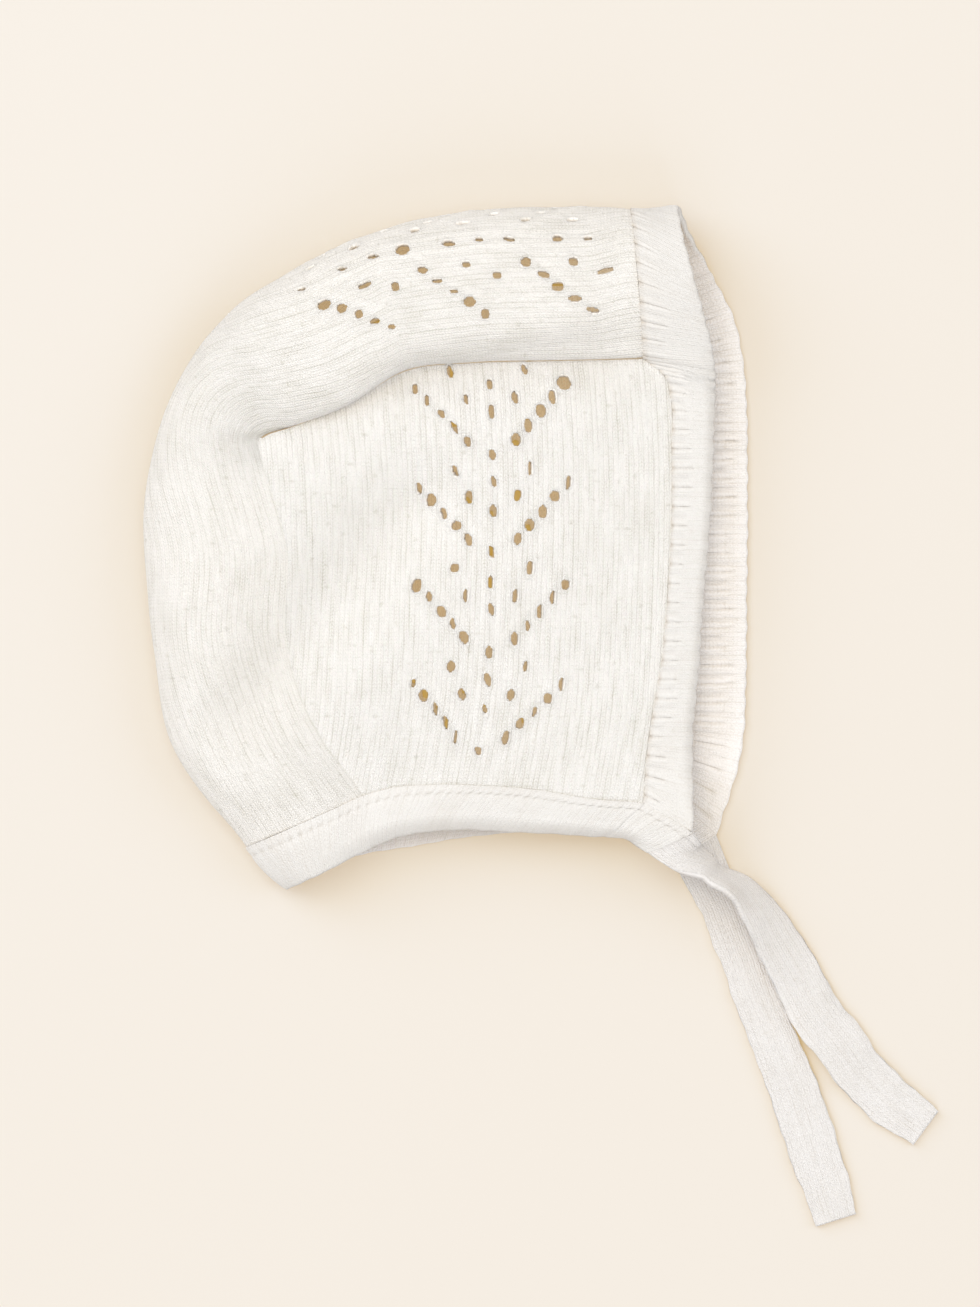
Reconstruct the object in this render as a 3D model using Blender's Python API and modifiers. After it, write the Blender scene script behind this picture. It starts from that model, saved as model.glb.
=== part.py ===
"""Knitted baby bonnet lying on its side, with its ties laid out beside it.

Metres, +Z up. The wearer's right side is on top, the face opening looks along +X and the crown along +Y.
Each knitted piece is an open surface worked out from short tables, then given its wall by Solidify.
"""

import bmesh
import bpy
import numpy as np

# Sizes of the whole bonnet as it lies
bonnet_depth = 0.149
bonnet_height = 0.169
lying_height = 0.028

# Walls, bands, ties and the gaps between pieces; the two clearances are shares of the knit's wall
knit_wall = 0.0016
band_wall = 0.0022
tie_wall = 0.0020
tie_width = 0.0125
seam_gap = 0.0005
crest_clear_share = 0.70
back_clear_share = 0.25
rib_pitch = 0.0047
rib_relief = 0.0004
rib_fade_share = 0.35
rib_samples = 4

# Lace: the pitch of its eyelets across and along the wales, and the knit left round each eyelet
lace_across = 0.00308
crown_row = 0.00384
eyelet_rim = 0.00074
crown_half_width = 0.0355
crown_lace_start = 0.0096

# Coarse cells outside the lace
panel_rows = 30
panel_side_cells = 4
panel_first_row = 1
plain_row = 0.0115
lower_cells = (8, 9)
neck_cells = 20
tie_cells = (2, 22)
tie_join_share = 0.12

knit_colour = (0.93, 0.89, 0.83, 1.0)
band_colour = (0.94, 0.90, 0.84, 1.0)
knit_roughness = 0.95

# One chevron of the lace: (row, column) of each eyelet, with the stem at column 0
chevron_rows = 7
CHEVRON = (
    [(row, side * (6 - row)) for side in (-1, 1) for row in range(5)]
    + [(row, side * column) for side in (-1, 1) for row, column in ((-1, 3), (1, 2))]
    + [(row, 0) for row in (0, 2, 5)]
)
lace_columns = 6
panel_chevrons = 4
crown_chevrons = 3

# Every plan coordinate below is a share: u of bonnet_depth from the back, v of bonnet_height from the neck.
# Every z is a share of lying_height.
CROWN = {
    "along": [0, 0.086, 0.18, 0.267, 0.354, 0.429, 0.506, 0.593, 0.67, 0.773, 0.861, 1],
    "seam_u": [0.827, 0.672, 0.538, 0.429, 0.328, 0.245, 0.190, 0.198, 0.232, 0.230, 0.269, 0.361],
    "seam_v": [0.784, 0.781, 0.778, 0.766, 0.713, 0.684, 0.664, 0.614, 0.507, 0.367, 0.260, 0.138],
    "crest_at": [0.30, 0.20, 0.14, 0.12, 0.16, 0.16, 0.24, 0.30, 0.34, 0.34, 0.34, 0.30],
    "crest_z": [0.86, 0.91, 0.93, 0.93, 0.92, 0.86, 0.80, 0.76, 0.72, 0.69, 0.66, 0.56],
    "overhang": [-0.16, -0.08, 0.02, 0.05, 0.05, 0.03, -0.02, -0.10, -0.20, -0.20, -0.20, -0.20],
    "fold_u": [0.806, 0.664, 0.513, 0.371, 0.235, 0.134, 0.057, 0.006, 0.000, 0.013, 0.037, 0.168],
    "fold_v": [0.997, 1.000, 0.991, 0.959, 0.905, 0.843, 0.751, 0.618, 0.500, 0.352, 0.226, 0.064],
    "fold_z": [0.44, 0.42, 0.41, 0.40, 0.39, 0.38, 0.37, 0.36, 0.35, 0.33, 0.30, 0.24],
    "far_u": [0.850, 0.690, 0.545, 0.417, 0.311, 0.235, 0.190, 0.178, 0.178, 0.193, 0.240, 0.345],
    "far_v": [0.885, 0.893, 0.885, 0.852, 0.803, 0.751, 0.692, 0.604, 0.485, 0.345, 0.235, 0.124],
}
corner_station = 6

# Points of a crown section: up from the seam, along the crest, down the shoulder to the fold and under it
SEAM_RISE = {"lean": [0.0, 0.08, 1.0], "rise": [0.0, 0.22, 0.55]}
crest_rise_share = 0.93
crest_end_share = 0.80
SHOULDER = {"at": [0.86, 1.0], "above_fold": [0.66, 0.0]}
UNDERSIDE = {"at": [0.14, 0.45, 1.0], "above_floor": [0.16, 0.0, 0.0]}
near_columns = (0, 0.14, 0.28, 0.42, 0.57, 0.77)
far_columns = 3

# The upper side panel: its front edge and its lace stem, up the panel from the neck
UPPER_PANEL = {
    "v": [0.126, 0.210, 0.273, 0.331, 0.432, 0.520, 0.654, 0.729, 0.764, 0.784],
    "front_u": [0.828, 0.835, 0.846, 0.857, 0.868, 0.874, 0.875, 0.873, 0.860, 0.830],
    "stem_u": [0.540, 0.556, 0.565, 0.569, 0.573, 0.576, 0.575, 0.571, 0.568, 0.565],
}
UPPER_NECK = {
    "u": [0.361, 0.413, 0.471, 0.565, 0.655, 0.740, 0.828],
    "v": [0.138, 0.149, 0.152, 0.151, 0.144, 0.131, 0.126],
}

# The lower side panel, which lies flat
LOWER_PANEL = {
    "v": [0.124, 0.160, 0.218, 0.290, 0.460, 0.654, 0.760, 0.825, 0.885],
    "front_u": [0.893, 0.912, 0.924, 0.929, 0.929, 0.928, 0.924, 0.905, 0.852],
}
LOWER_NECK = {
    "u": [0.345, 0.487, 0.622, 0.756, 0.893],
    "v": [0.124, 0.134, 0.141, 0.134, 0.124],
}

# Free edge of the ribbed face band: 0 to 1 up the upper side, 1 to 2 over the crown, 2 to 3 down the lower
FACE_EDGE = {
    "along": [0, 0.15, 0.30, 0.45, 0.60, 0.75, 0.90, 1.0, 1.2, 1.4, 1.58, 1.72,
              1.88, 2.0, 2.15, 2.3, 2.5, 2.7, 2.85, 3],
    "u": [0.908, 0.911, 0.921, 0.927, 0.938, 0.944, 0.948, 0.946, 0.930, 0.909, 0.890, 0.885,
          0.904, 0.938, 0.983, 0.998, 1.000, 0.999, 0.992, 0.951],
    "v": [0.084, 0.226, 0.325, 0.419, 0.519, 0.618, 0.715, 0.763, 0.828, 0.893, 0.962, 1.000,
          0.965, 0.916, 0.828, 0.722, 0.559, 0.367, 0.210, 0.078],
    "z": [0.50, 0.50, 0.50, 0.50, 0.50, 0.50, 0.51, 0.54, 0.68, 0.78, 0.72, 0.46,
          0.20, 0.06, 0.0, 0.0, 0.0, 0.0, 0.0, 0.0],
}

# Free edge of the neck band: 0 to 1 along the upper side, 1 to 2 round the back, 2 to 3 along the lower side
NECK_EDGE = {
    "along": [0, 0.09, 0.25, 0.45, 0.65, 0.85, 1.0, 1.18, 1.35, 1.52, 1.75, 2.0, 2.2, 2.45, 2.7, 2.9, 3],
    "u": [0.836, 0.795, 0.730, 0.612, 0.500, 0.412, 0.355, 0.300, 0.262, 0.233,
          0.268, 0.350, 0.450, 0.580, 0.720, 0.815, 0.880],
    "v": [0.054, 0.073, 0.080, 0.086, 0.089, 0.078, 0.055, 0.030, 0.014, 0.003,
          0.022, 0.048, 0.064, 0.080, 0.084, 0.072, 0.038],
    "z": [0.48, 0.50, 0.52, 0.54, 0.55, 0.54, 0.50, 0.44, 0.36, 0.20,
          0.04, 0.0, 0.0, 0.0, 0.0, 0.0, 0.0],
}

# The free ties, along their middle: lift is the middle's z, and roll the turn about the length in degrees
RIGHT_TIE = {
    "along": [0, 0.05, 0.105, 0.134, 0.20, 0.29, 0.40, 0.48, 0.58, 0.69, 0.79, 0.88, 1],
    "u": [0.877, 0.901, 0.933, 0.946, 0.985, 1.022, 1.057, 1.084, 1.116, 1.160, 1.197, 1.239, 1.303],
    "v": [0.070, 0.050, 0.034, 0.024, 0.004, -0.034, -0.087, -0.127, -0.180, -0.232, -0.277,
          -0.312, -0.354],
    "lift": [0.48, 0.455, 0.40, 0.375, 0.32, 0.24, 0.150, 0.100, 0.082, 0.080, 0.050, 0.036, 0.036],
    "roll": [0, 28, 62, 66, 60, 44, 26, 14, 12, 12, 4, 0, 0],
    "width": [0.92, 0.90, 0.90, 0.90, 0.92, 0.96, 0.98, 1.0, 1.06, 1.06, 1.0, 1.02, 0.84],
}
LEFT_TIE = {
    "along": [0, 0.075, 0.15, 0.21, 0.30, 0.39, 0.54, 0.68, 0.79, 0.89, 1],
    "u": [0.919, 0.938, 0.960, 0.974, 0.995, 1.014, 1.053, 1.087, 1.110, 1.131, 1.152],
    "v": [0.055, 0.015, -0.025, -0.058, -0.107, -0.156, -0.237, -0.314, -0.376, -0.432, -0.491],
    "lift": [0.0] * 11,
    "roll": [0] * 11,
    "width": [0.92, 0.90, 0.86, 0.86, 0.86, 0.88, 0.94, 1.0, 1.02, 0.96, 0.84],
}

# Folds pressed into the upper side: a groove between two points, or a ridge where the depth is negative
FOLDS = {
    "from_u": [0.15, 0.42, 0.50, 0.30, 0.24],
    "from_v": [0.645, 0.765, 0.630, 0.640, 0.300],
    "to_u": [0.42, 0.78, 0.06, 0.06, 0.44],
    "to_v": [0.765, 0.785, 0.270, 0.460, 0.560],
    "half_width": [0.035, 0.035, 0.050, 0.060, 0.070],
    "depth": [0.10, 0.12, 0.13, -0.04, -0.03],
}
upper_edge_share = 0.50
upper_swell_share = 0.17
front_swell_share = 0.95
front_reach_share = 0.40
neck_swell_share = 0.06
neck_reach_share = 0.34
fold_fade_share = 0.12


def smooth(keys, values, at):
    """Cubic Hermite curve through the rows of a table, read at any key."""
    keys = np.asarray(keys, float)
    values = np.asarray(values, float)
    slopes = np.gradient(values, keys, axis=0)
    at = np.clip(np.asarray(at, float), keys[0], keys[-1])
    i = np.clip(np.searchsorted(keys, at, side="right") - 1, 0, len(keys) - 2)
    span = keys[i + 1] - keys[i]
    f = (at - keys[i]) / span
    if values.ndim == 2:
        f, span = f[:, None], span[:, None]
    rest = 1 - f
    return (
        (1 + 2 * f) * rest**2 * values[i]
        + f * rest**2 * span * slopes[i]
        + f**2 * (3 - 2 * f) * values[i + 1]
        - f**2 * rest * span * slopes[i + 1]
    )


def column(table, name, at, key="along"):
    return smooth(table[key], table[name], at)


def ease(x):
    x = np.clip(x, 0, 1)
    return x * x * (3 - 2 * x)


def plan_x(u):
    return (u - 0.5) * bonnet_depth


def plan_y(v):
    return (v - 0.5) * bonnet_height


def lengths_along(points):
    """Distance from the first point to each point of a line, along the line."""
    steps = np.linalg.norm(np.diff(points, axis=0), axis=1)
    return np.concatenate([[0.0], np.cumsum(steps)])


def line_at(points, at):
    """Points of a line at the given distances along it."""
    along = lengths_along(points)
    return np.stack([np.interp(at, along, points[:, axis]) for axis in range(3)], axis=1)


def evenly(points, count):
    return line_at(points, np.linspace(0, lengths_along(points)[-1], count))


def unit(vectors):
    return vectors / np.maximum(np.linalg.norm(vectors, axis=-1, keepdims=True), 1e-12)


def upper_z(u, v):
    """Height of the upper layer: low at the face and neck edges, swelling inwards, less its folds."""
    front = ease((front_swell_share - u) / front_reach_share)
    neck = ease((v - neck_swell_share) / neck_reach_share)
    share = upper_edge_share + upper_swell_share * front * neck
    tall = bonnet_height / bonnet_depth
    for from_u, from_v, to_u, to_v, half_width, depth in zip(*FOLDS.values()):
        run = np.array([to_u - from_u, (to_v - from_v) * tall])
        length = np.linalg.norm(run)
        du, dv = u - from_u, (v - from_v) * tall
        along = (du * run[0] + dv * run[1]) / length**2
        across = (dv * run[0] - du * run[1]) / length
        fade = 2 * fold_fade_share
        ends = ease(along / fade + 0.5) * ease((1 - along) / fade + 0.5)
        share = share - depth * ends * np.exp(-0.5 * (across / half_width) ** 2)
    return share * lying_height


def crown_section(at, count=240):
    """One section of the crown, from the upper seam over the crest, round the fold and under to the lower."""
    row = {name: float(column(CROWN, name, at)) for name in CROWN if name != "along"}
    seam = np.array([plan_x(row["seam_u"]), plan_y(row["seam_v"])])
    fold = np.array([plan_x(row["fold_u"]), plan_y(row["fold_v"])])
    far = np.array([plan_x(row["far_u"]), plan_y(row["far_v"])])
    reach = np.linalg.norm(fold - seam)
    low = float(upper_z(row["seam_u"], row["seam_v"]))
    crest = row["crest_z"] * lying_height
    edge = row["fold_z"] * lying_height
    floor = knit_wall / 2
    lean = -row["overhang"] * lying_height / reach
    rise = crest - low
    shares = [lean * share for share in SEAM_RISE["lean"]]
    shares += [row["crest_at"], 0.5 * (row["crest_at"] + crest_end_share)]
    heights = [low + rise * share for share in SEAM_RISE["rise"] + [crest_rise_share, 1.0]]
    shares += SHOULDER["at"]
    heights += [edge + (crest - edge) * share for share in SHOULDER["above_fold"]]
    points = [(*(seam + share * (fold - seam)), z) for share, z in zip(shares, heights)]
    points += [
        (*(fold + share * (far - fold)), floor + lift * (edge - floor))
        for share, lift in zip(UNDERSIDE["at"], UNDERSIDE["above_floor"])
    ]
    points = np.array(points)
    keys = lengths_along(points)
    section = smooth(keys, points, np.linspace(0, keys[-1], count))
    section[:, 2] = np.maximum(section[:, 2], floor)
    return section


def crown_columns(section):
    """Distances across the strip: fine over the tuck, one lace pitch in the lace, coarse beyond it."""
    width = lengths_along(section)[-1]
    lace_edge = (lace_columns + 0.5) * lace_across
    start = crown_half_width - lace_edge
    near = start * np.array(near_columns)
    lace = crown_half_width + lace_across * (np.arange(2 * lace_columns + 2) - lace_columns - 0.5)
    far = np.linspace(lace[-1], width, far_columns + 1)[1:]
    return np.concatenate([near, lace, far]), len(near)


def crown_surface():
    """Grid of crown points, rows along the strip, with its first lace row and column and its corner row."""
    stations = np.linspace(0, 1, 241)
    middle = np.array([line_at(crown_section(at), [crown_half_width])[0] for at in stations])
    along = lengths_along(middle)
    corner = np.interp(CROWN["along"][corner_station], stations, along)
    lace = crown_lace_start + crown_row * np.arange(crown_chevrons * chevron_rows + 1)
    rows = [[0.0], lace]
    for start, end in ((lace[-1], corner), (corner, along[-1])):
        rows.append(np.linspace(start, end, max(round((end - start) / plain_row), 1) + 1)[1:])
    corner_row = sum(len(part) for part in rows[:3]) - 1
    grid = []
    for at in np.interp(np.concatenate(rows), along, stations):
        section = crown_section(at)
        columns, first_column = crown_columns(section)
        grid.append(line_at(section, columns))
    return np.array(grid), 1, first_column, corner_row


def beside(line, aside):
    """A plan line moved to its left by a distance."""
    run = unit(np.gradient(line, axis=0))
    return line + aside * np.stack([-run[:, 1], run[:, 0]], axis=1)


def panel_outline(seam, corner_row, under_crest, beside_back, rows):
    """Top edge of a side panel along the crown, and the x of its back edge at evenly spaced rows."""
    top = beside(seam[: corner_row + 1], under_crest)[::-1]
    back = beside(seam[corner_row:], beside_back)[::-1]
    corner_y = np.interp(back[-1, 0], top[:, 0], top[:, 1])
    back_y = np.linspace(corner_y, back[0, 1], rows + 1)
    return top, back_y, np.interp(back_y, back[:, 1], back[:, 0])


def upper_panel_surface(seam, corner_row):
    """Grid of the upper side panel, rows from the crown seam down to the neck, columns from back to front."""
    under_crest = crest_clear_share * knit_wall + seam_gap
    beside_back = back_clear_share * knit_wall + seam_gap
    top, back_y, back = panel_outline(seam, corner_row, under_crest, beside_back, panel_rows)
    lace = lace_across * (np.arange(2 * lace_columns + 2) - lace_columns - 0.5)
    side = np.linspace(0, 1, panel_side_cells + 1)
    t = np.linspace(0, 1, panel_rows + 1)
    v_of_row = np.linspace(UPPER_PANEL["v"][-1], UPPER_PANEL["v"][0], panel_rows + 1)
    stem = plan_x(column(UPPER_PANEL, "stem_u", v_of_row, "v"))
    front = plan_x(column(UPPER_PANEL, "front_u", v_of_row, "v"))
    x = np.concatenate(
        [
            back[:, None] + side[:-1] * (stem + lace[0] - back)[:, None],
            stem[:, None] + lace,
            (stem + lace[-1])[:, None] + side[1:] * (front - stem - lace[-1])[:, None],
        ],
        axis=1,
    )
    start_y = np.interp(x[0], top[:, 0], top[:, 1])
    end_y = plan_y(column(UPPER_NECK, "v", x[-1] / bonnet_depth + 0.5, "u"))
    end_y[0] = back_y[-1]
    y = start_y + t[:, None] * (end_y - start_y)
    z = upper_z(x / bonnet_depth + 0.5, y / bonnet_height + 0.5)
    return np.stack([x, y, z], axis=2), panel_first_row, panel_side_cells


def lower_panel_surface(seam, corner_row):
    """Grid of the lower side panel, which lies flat: rows from the crown seam down to the neck."""
    across, down = lower_cells
    top, back_y, back = panel_outline(seam, corner_row, seam_gap, seam_gap, down)
    s = np.linspace(0, 1, across + 1)
    t = np.linspace(0, 1, down + 1)
    v_of_row = np.linspace(LOWER_PANEL["v"][-1], LOWER_PANEL["v"][0], down + 1)
    front = plan_x(column(LOWER_PANEL, "front_u", v_of_row, "v"))
    x = back[:, None] + s * (front - back)[:, None]
    start_y = np.interp(x[0], top[:, 0], top[:, 1])
    end_y = plan_y(column(LOWER_NECK, "v", x[-1] / bonnet_depth + 0.5, "u"))
    end_y[0] = back_y[-1]
    y = start_y + t[:, None] * (end_y - start_y)
    return np.stack([x, y, np.full_like(x, knit_wall / 2)], axis=2)


def beyond(edge, inside):
    """The edge of a surface moved out of it, square to the edge, by the seam gap."""
    along = unit(np.gradient(edge, axis=0))
    out = edge - inside
    out = out - along * np.sum(out * along, axis=1, keepdims=True)
    return edge + seam_gap * unit(out)


def share_corners(legs):
    """Make the outer legs of a band's edge begin and end at the corners of the middle leg."""
    first, middle, last = legs
    first[-1], last[0] = middle[0], middle[-1]


def band_between(inner_legs, edge_table, lowest, counts):
    """Grid of a band from the edge that it joins to its free edge; each leg is one stretch of its run."""
    inner, at = [], []
    for leg, (points, count) in enumerate(zip(inner_legs, counts)):
        last = leg == len(inner_legs) - 1
        inner.append(evenly(points, count + 1)[: count + 1 if last else count])
        at.append(leg + np.arange(len(inner[-1])) / count)
    inner, at = np.concatenate(inner), np.concatenate(at)
    outer = np.stack(
        [
            plan_x(column(edge_table, "u", at)),
            plan_y(column(edge_table, "v", at)),
            column(edge_table, "z", at) * lying_height,
        ],
        axis=1,
    )
    grid = np.stack([inner, outer])
    grid[..., 2] = np.maximum(grid[..., 2], lowest)
    return grid


def grid_object(collection, name, points, material, wall, eyelets=()):
    """An open quad surface through a grid of points, with its eyelets cut out, given its wall by Solidify."""
    rows, columns = points.shape[:2]
    mesh = bpy.data.meshes.new(name)
    form = bmesh.new()
    bmesh.ops.create_grid(form, x_segments=columns - 1, y_segments=rows - 1, size=0.5)
    form.verts.ensure_lookup_table()
    form.faces.ensure_lookup_table()
    for vert, place in zip(form.verts, points.reshape(-1, 3)):
        vert.co = place
    form.normal_update()
    if len(eyelets):
        cells = [form.faces[row * (columns - 1) + col] for row, col in eyelets]
        bmesh.ops.inset_individual(form, faces=cells, thickness=eyelet_rim, use_even_offset=True)
        bmesh.ops.delete(form, geom=cells, context="FACES")
    form.to_mesh(mesh)
    form.free()
    mesh.materials.append(material)
    mesh.shade_smooth()
    obj = bpy.data.objects.new(name, mesh)
    collection.objects.link(obj)
    shell = obj.modifiers.new("Wall", "SOLIDIFY")
    shell.thickness = wall
    shell.offset = 0.0
    shell.use_quality_normals = True
    facets = obj.modifiers.new("Facets", "TRIANGULATE")
    facets.quad_method = "SHORTEST_DIAGONAL"
    return obj


def eyelet_cells(first_row, first_column, chevrons, rows):
    """(row, column) of every eyelet cell of a lace that repeats its chevron down the wales."""
    cells = []
    for chevron in range(chevrons):
        for row, col in CHEVRON:
            at = first_row + chevron * chevron_rows + row
            if at < rows:
                cells.append((at, first_column + lace_columns + col))
    return sorted(set(cells))


def ribbon(table, start):
    """Grid of a flat tie that begins on a given edge: its width is laid across its middle line and rolled."""
    cells_across, cells_along = tie_cells
    at = np.linspace(0, 1, cells_along + 1)
    lift = np.maximum(column(table, "lift", at) * lying_height, tie_wall / 2)
    middle = np.stack([plan_x(column(table, "u", at)), plan_y(column(table, "v", at)), lift], axis=1)
    forward = unit(np.gradient(middle, axis=0))
    level = unit(np.cross(forward, [0.0, 0.0, 1.0]))
    upright = np.cross(level, forward)
    roll = np.radians(column(table, "roll", at))[:, None]
    side = level * np.cos(roll) + upright * np.sin(roll)
    half = (0.5 * tie_width * column(table, "width", at))[:, None]
    across = np.linspace(-1, 1, cells_across + 1)[:, None, None]
    grid = middle + across * half * side
    joined = (1 - ease(at / tie_join_share))[None, :, None]
    grid = grid + joined * (evenly(start, cells_across + 1)[:, None] - grid[:, :1])
    grid[..., 2] = np.maximum(grid[..., 2], tie_wall / 2)
    return grid


def ribbed(grid):
    """Ribs across a band: the surface rises and falls along the run, less so at the edge that is joined."""
    normal = unit(np.cross(np.gradient(grid, axis=1), np.gradient(grid, axis=0)))
    wave = np.cos(2 * np.pi * np.arange(grid.shape[1]) / rib_samples)[None, :, None]
    fade = np.linspace(rib_fade_share, 1, grid.shape[0])[:, None, None]
    return grid + rib_relief * wave * fade * normal


def knit_material(name, colour):
    material = bpy.data.materials.new(name)
    material.use_nodes = True
    shader = material.node_tree.nodes["Principled BSDF"]
    shader.inputs["Base Color"].default_value = colour
    shader.inputs["Roughness"].default_value = knit_roughness
    shader.inputs["Metallic"].default_value = 0.0
    material.diffuse_color = colour
    return material


def world_corners(objects):
    """Lowest and highest corner of the objects as their modifiers leave them."""
    graph = bpy.context.evaluated_depsgraph_get()
    found = []
    for obj in objects:
        mesh = obj.evaluated_get(graph).to_mesh()
        points = np.empty(len(mesh.vertices) * 3, np.float32)
        mesh.vertices.foreach_get("co", points)
        found.append(points.reshape(-1, 3))
    points = np.concatenate(found)
    return points.min(0), points.max(0)


def build():
    for obj in list(bpy.data.objects):
        bpy.data.objects.remove(obj)
    bonnet = bpy.data.collections.new("baby_bonnet")
    bpy.context.scene.collection.children.link(bonnet)
    knit = knit_material("stockinette_knit", knit_colour)
    rib = knit_material("ribbed_knit", band_colour)

    crown, lace_row, lace_column, corner_row = crown_surface()
    crown_eyelets = eyelet_cells(lace_row, lace_column, crown_chevrons, len(crown))
    upper, upper_row, upper_column = upper_panel_surface(crown[:, 0, :2], corner_row)
    upper_eyelets = eyelet_cells(upper_row, upper_column, panel_chevrons, len(upper) - 1)
    lower = lower_panel_surface(crown[:, -1, :2], corner_row)

    # The face band joins the front edges of the upper panel, the crown and the lower panel in turn
    front_legs = [
        beyond(upper[::-1, -1], upper[::-1, -2]),
        beyond(crown[0], crown[1]),
        beyond(lower[:, -1], lower[:, -2]),
    ]
    share_corners(front_legs)
    rib_counts = [rib_samples * round(lengths_along(leg)[-1] / rib_pitch) for leg in front_legs]
    face = ribbed(band_between(front_legs, FACE_EDGE, band_wall / 2 + rib_relief, rib_counts))

    # The neck band joins the feet of the face band and of the panels, and the end of the crown between them
    foot_clear = np.array([0, 2 * seam_gap, 0])
    neck_legs = [
        np.concatenate([face[::-1, 0] - foot_clear, beyond(upper[-1, ::-1], upper[-2, ::-1])[1:]]),
        beyond(crown[-1], crown[-2]),
        np.concatenate([beyond(lower[-1], lower[-2])[:-1], face[:, -1] - foot_clear]),
    ]
    share_corners(neck_legs)
    neck = band_between(neck_legs, NECK_EDGE, band_wall / 2, [neck_cells] * 3)
    right_tie = ribbon(RIGHT_TIE, beyond(neck[:, 0], neck[:, 1]))
    left_tie = ribbon(LEFT_TIE, beyond(neck[:, -1], neck[:, -2]))

    bodies = [
        grid_object(bonnet, "side_panel_right", upper, knit, knit_wall, upper_eyelets),
        grid_object(bonnet, "side_panel_left", lower, knit, knit_wall),
        grid_object(bonnet, "crown_panel", crown, knit, knit_wall, crown_eyelets),
        grid_object(bonnet, "face_band", face, rib, band_wall),
        grid_object(bonnet, "neck_band", neck, rib, band_wall),
    ]
    ties = [
        grid_object(bonnet, "tie_right", right_tie, rib, tie_wall),
        grid_object(bonnet, "tie_left", left_tie, rib, tie_wall),
    ]

    # The origin is under the middle of the bonnet without its ties, on the surface that it lies on
    low, high = world_corners(bodies)
    shift = (-(low[0] + high[0]) / 2, -(low[1] + high[1]) / 2, -low[2])
    for obj in bodies + ties:
        obj.location = shift


build()
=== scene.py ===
import bpy
import numpy as np
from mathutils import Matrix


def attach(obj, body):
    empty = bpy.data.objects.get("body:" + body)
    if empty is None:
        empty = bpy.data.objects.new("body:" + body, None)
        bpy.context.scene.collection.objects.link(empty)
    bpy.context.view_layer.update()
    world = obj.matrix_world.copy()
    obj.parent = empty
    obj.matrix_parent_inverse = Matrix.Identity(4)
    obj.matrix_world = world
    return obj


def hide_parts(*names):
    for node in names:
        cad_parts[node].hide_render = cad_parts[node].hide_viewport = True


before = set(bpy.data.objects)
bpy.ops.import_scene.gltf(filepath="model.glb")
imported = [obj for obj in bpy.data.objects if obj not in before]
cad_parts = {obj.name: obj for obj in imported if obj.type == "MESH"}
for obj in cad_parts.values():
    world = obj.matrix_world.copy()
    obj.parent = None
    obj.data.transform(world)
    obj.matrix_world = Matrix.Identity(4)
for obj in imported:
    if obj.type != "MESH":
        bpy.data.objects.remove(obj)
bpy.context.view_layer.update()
print("frame loaded")

# The bonnet's size as it lies and where its box's middle is set; shares u run from the back, v from the neck
bonnet = {"depth": 0.149, "height": 0.169, "lying": 0.028, "shift": np.array([0.0002668, -0.0004699, 0.0])}
seed = 11


def addObject(name, data):
    obj = bpy.data.objects.new(name, data)
    bpy.context.scene.collection.objects.link(obj)
    return obj


# Camera straight above, from far enough for very little perspective
cameraView = {
    "middle": (0.01087, -0.02637), "above": 2.4, "framedHeight": 0.32675, "sensor": 36.0,
    "farthest": 20.0,
}


def makeCamera():
    data = bpy.data.cameras.new("cameraAbove")
    data.sensor_width = cameraView["sensor"]
    data.lens = cameraView["sensor"] * cameraView["above"] / cameraView["framedHeight"]
    data.clip_end = cameraView["farthest"]
    obj = addObject("cameraAbove", data)
    obj.location = (*cameraView["middle"], cameraView["above"])
    bpy.context.scene.camera = obj


makeCamera()


# Curves and small vector helpers
def smoothCurve(keys, values, at):
    # cubic Hermite through the rows of a table, with slopes from the neighbouring rows
    keys, values = np.asarray(keys, float), np.asarray(values, float)
    slopes = np.gradient(values, keys, axis=0)
    at = np.clip(np.asarray(at, float), keys[0], keys[-1])
    i = np.clip(np.searchsorted(keys, at, side="right") - 1, 0, len(keys) - 2)
    span = keys[i + 1] - keys[i]
    f = (at - keys[i]) / span
    if values.ndim == 2:
        f, span = f[:, None], span[:, None]
    rest = 1 - f
    return (
        (1 + 2 * f) * rest**2 * values[i]
        + f * rest**2 * span * slopes[i]
        + f**2 * (3 - 2 * f) * values[i + 1]
        - f**2 * rest * span * slopes[i + 1]
    )


def column(table, name, at, key="along"):
    return smoothCurve(table[key], table[name], at)


def ease(x):
    # 0 below 0, 1 above 1, and a smooth step between
    x = np.clip(x, 0, 1)
    return x * x * (3 - 2 * x)


def bell(x, width):
    return np.exp(-((x / width) ** 2))


def planX(u):
    return (u - 0.5) * bonnet["depth"]


def planY(v):
    return (v - 0.5) * bonnet["height"]


def unit(vectors):
    return vectors / np.maximum(np.linalg.norm(vectors, axis=-1, keepdims=True), 1e-12)


def lengthsAlong(points):
    return np.concatenate([[0.0], np.cumsum(np.linalg.norm(np.diff(points, axis=0), axis=1))])


def lineAt(points, at):
    along = lengthsAlong(points)
    return np.stack([np.interp(at, along, points[:, axis]) for axis in range(points.shape[1])], axis=1)


def evenly(points, count):
    return lineAt(points, np.linspace(0, lengthsAlong(points)[-1], count))


def inSpans(stops, counts):
    # even steps between each stop and the next, with the given number of cells in each span
    spans = [np.linspace(low, high, count + 1)[:-1] for low, high, count in zip(stops, stops[1:], counts)]
    return np.concatenate([*spans, stops[-1:]])


def upNormals(grid, row, col):
    # cross product of the steps along the rows and down the columns, turned to point up at one place
    normals = unit(np.cross(np.gradient(grid, axis=1), np.gradient(grid, axis=0)))
    return normals * np.sign(normals[row, col, 2])


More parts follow.
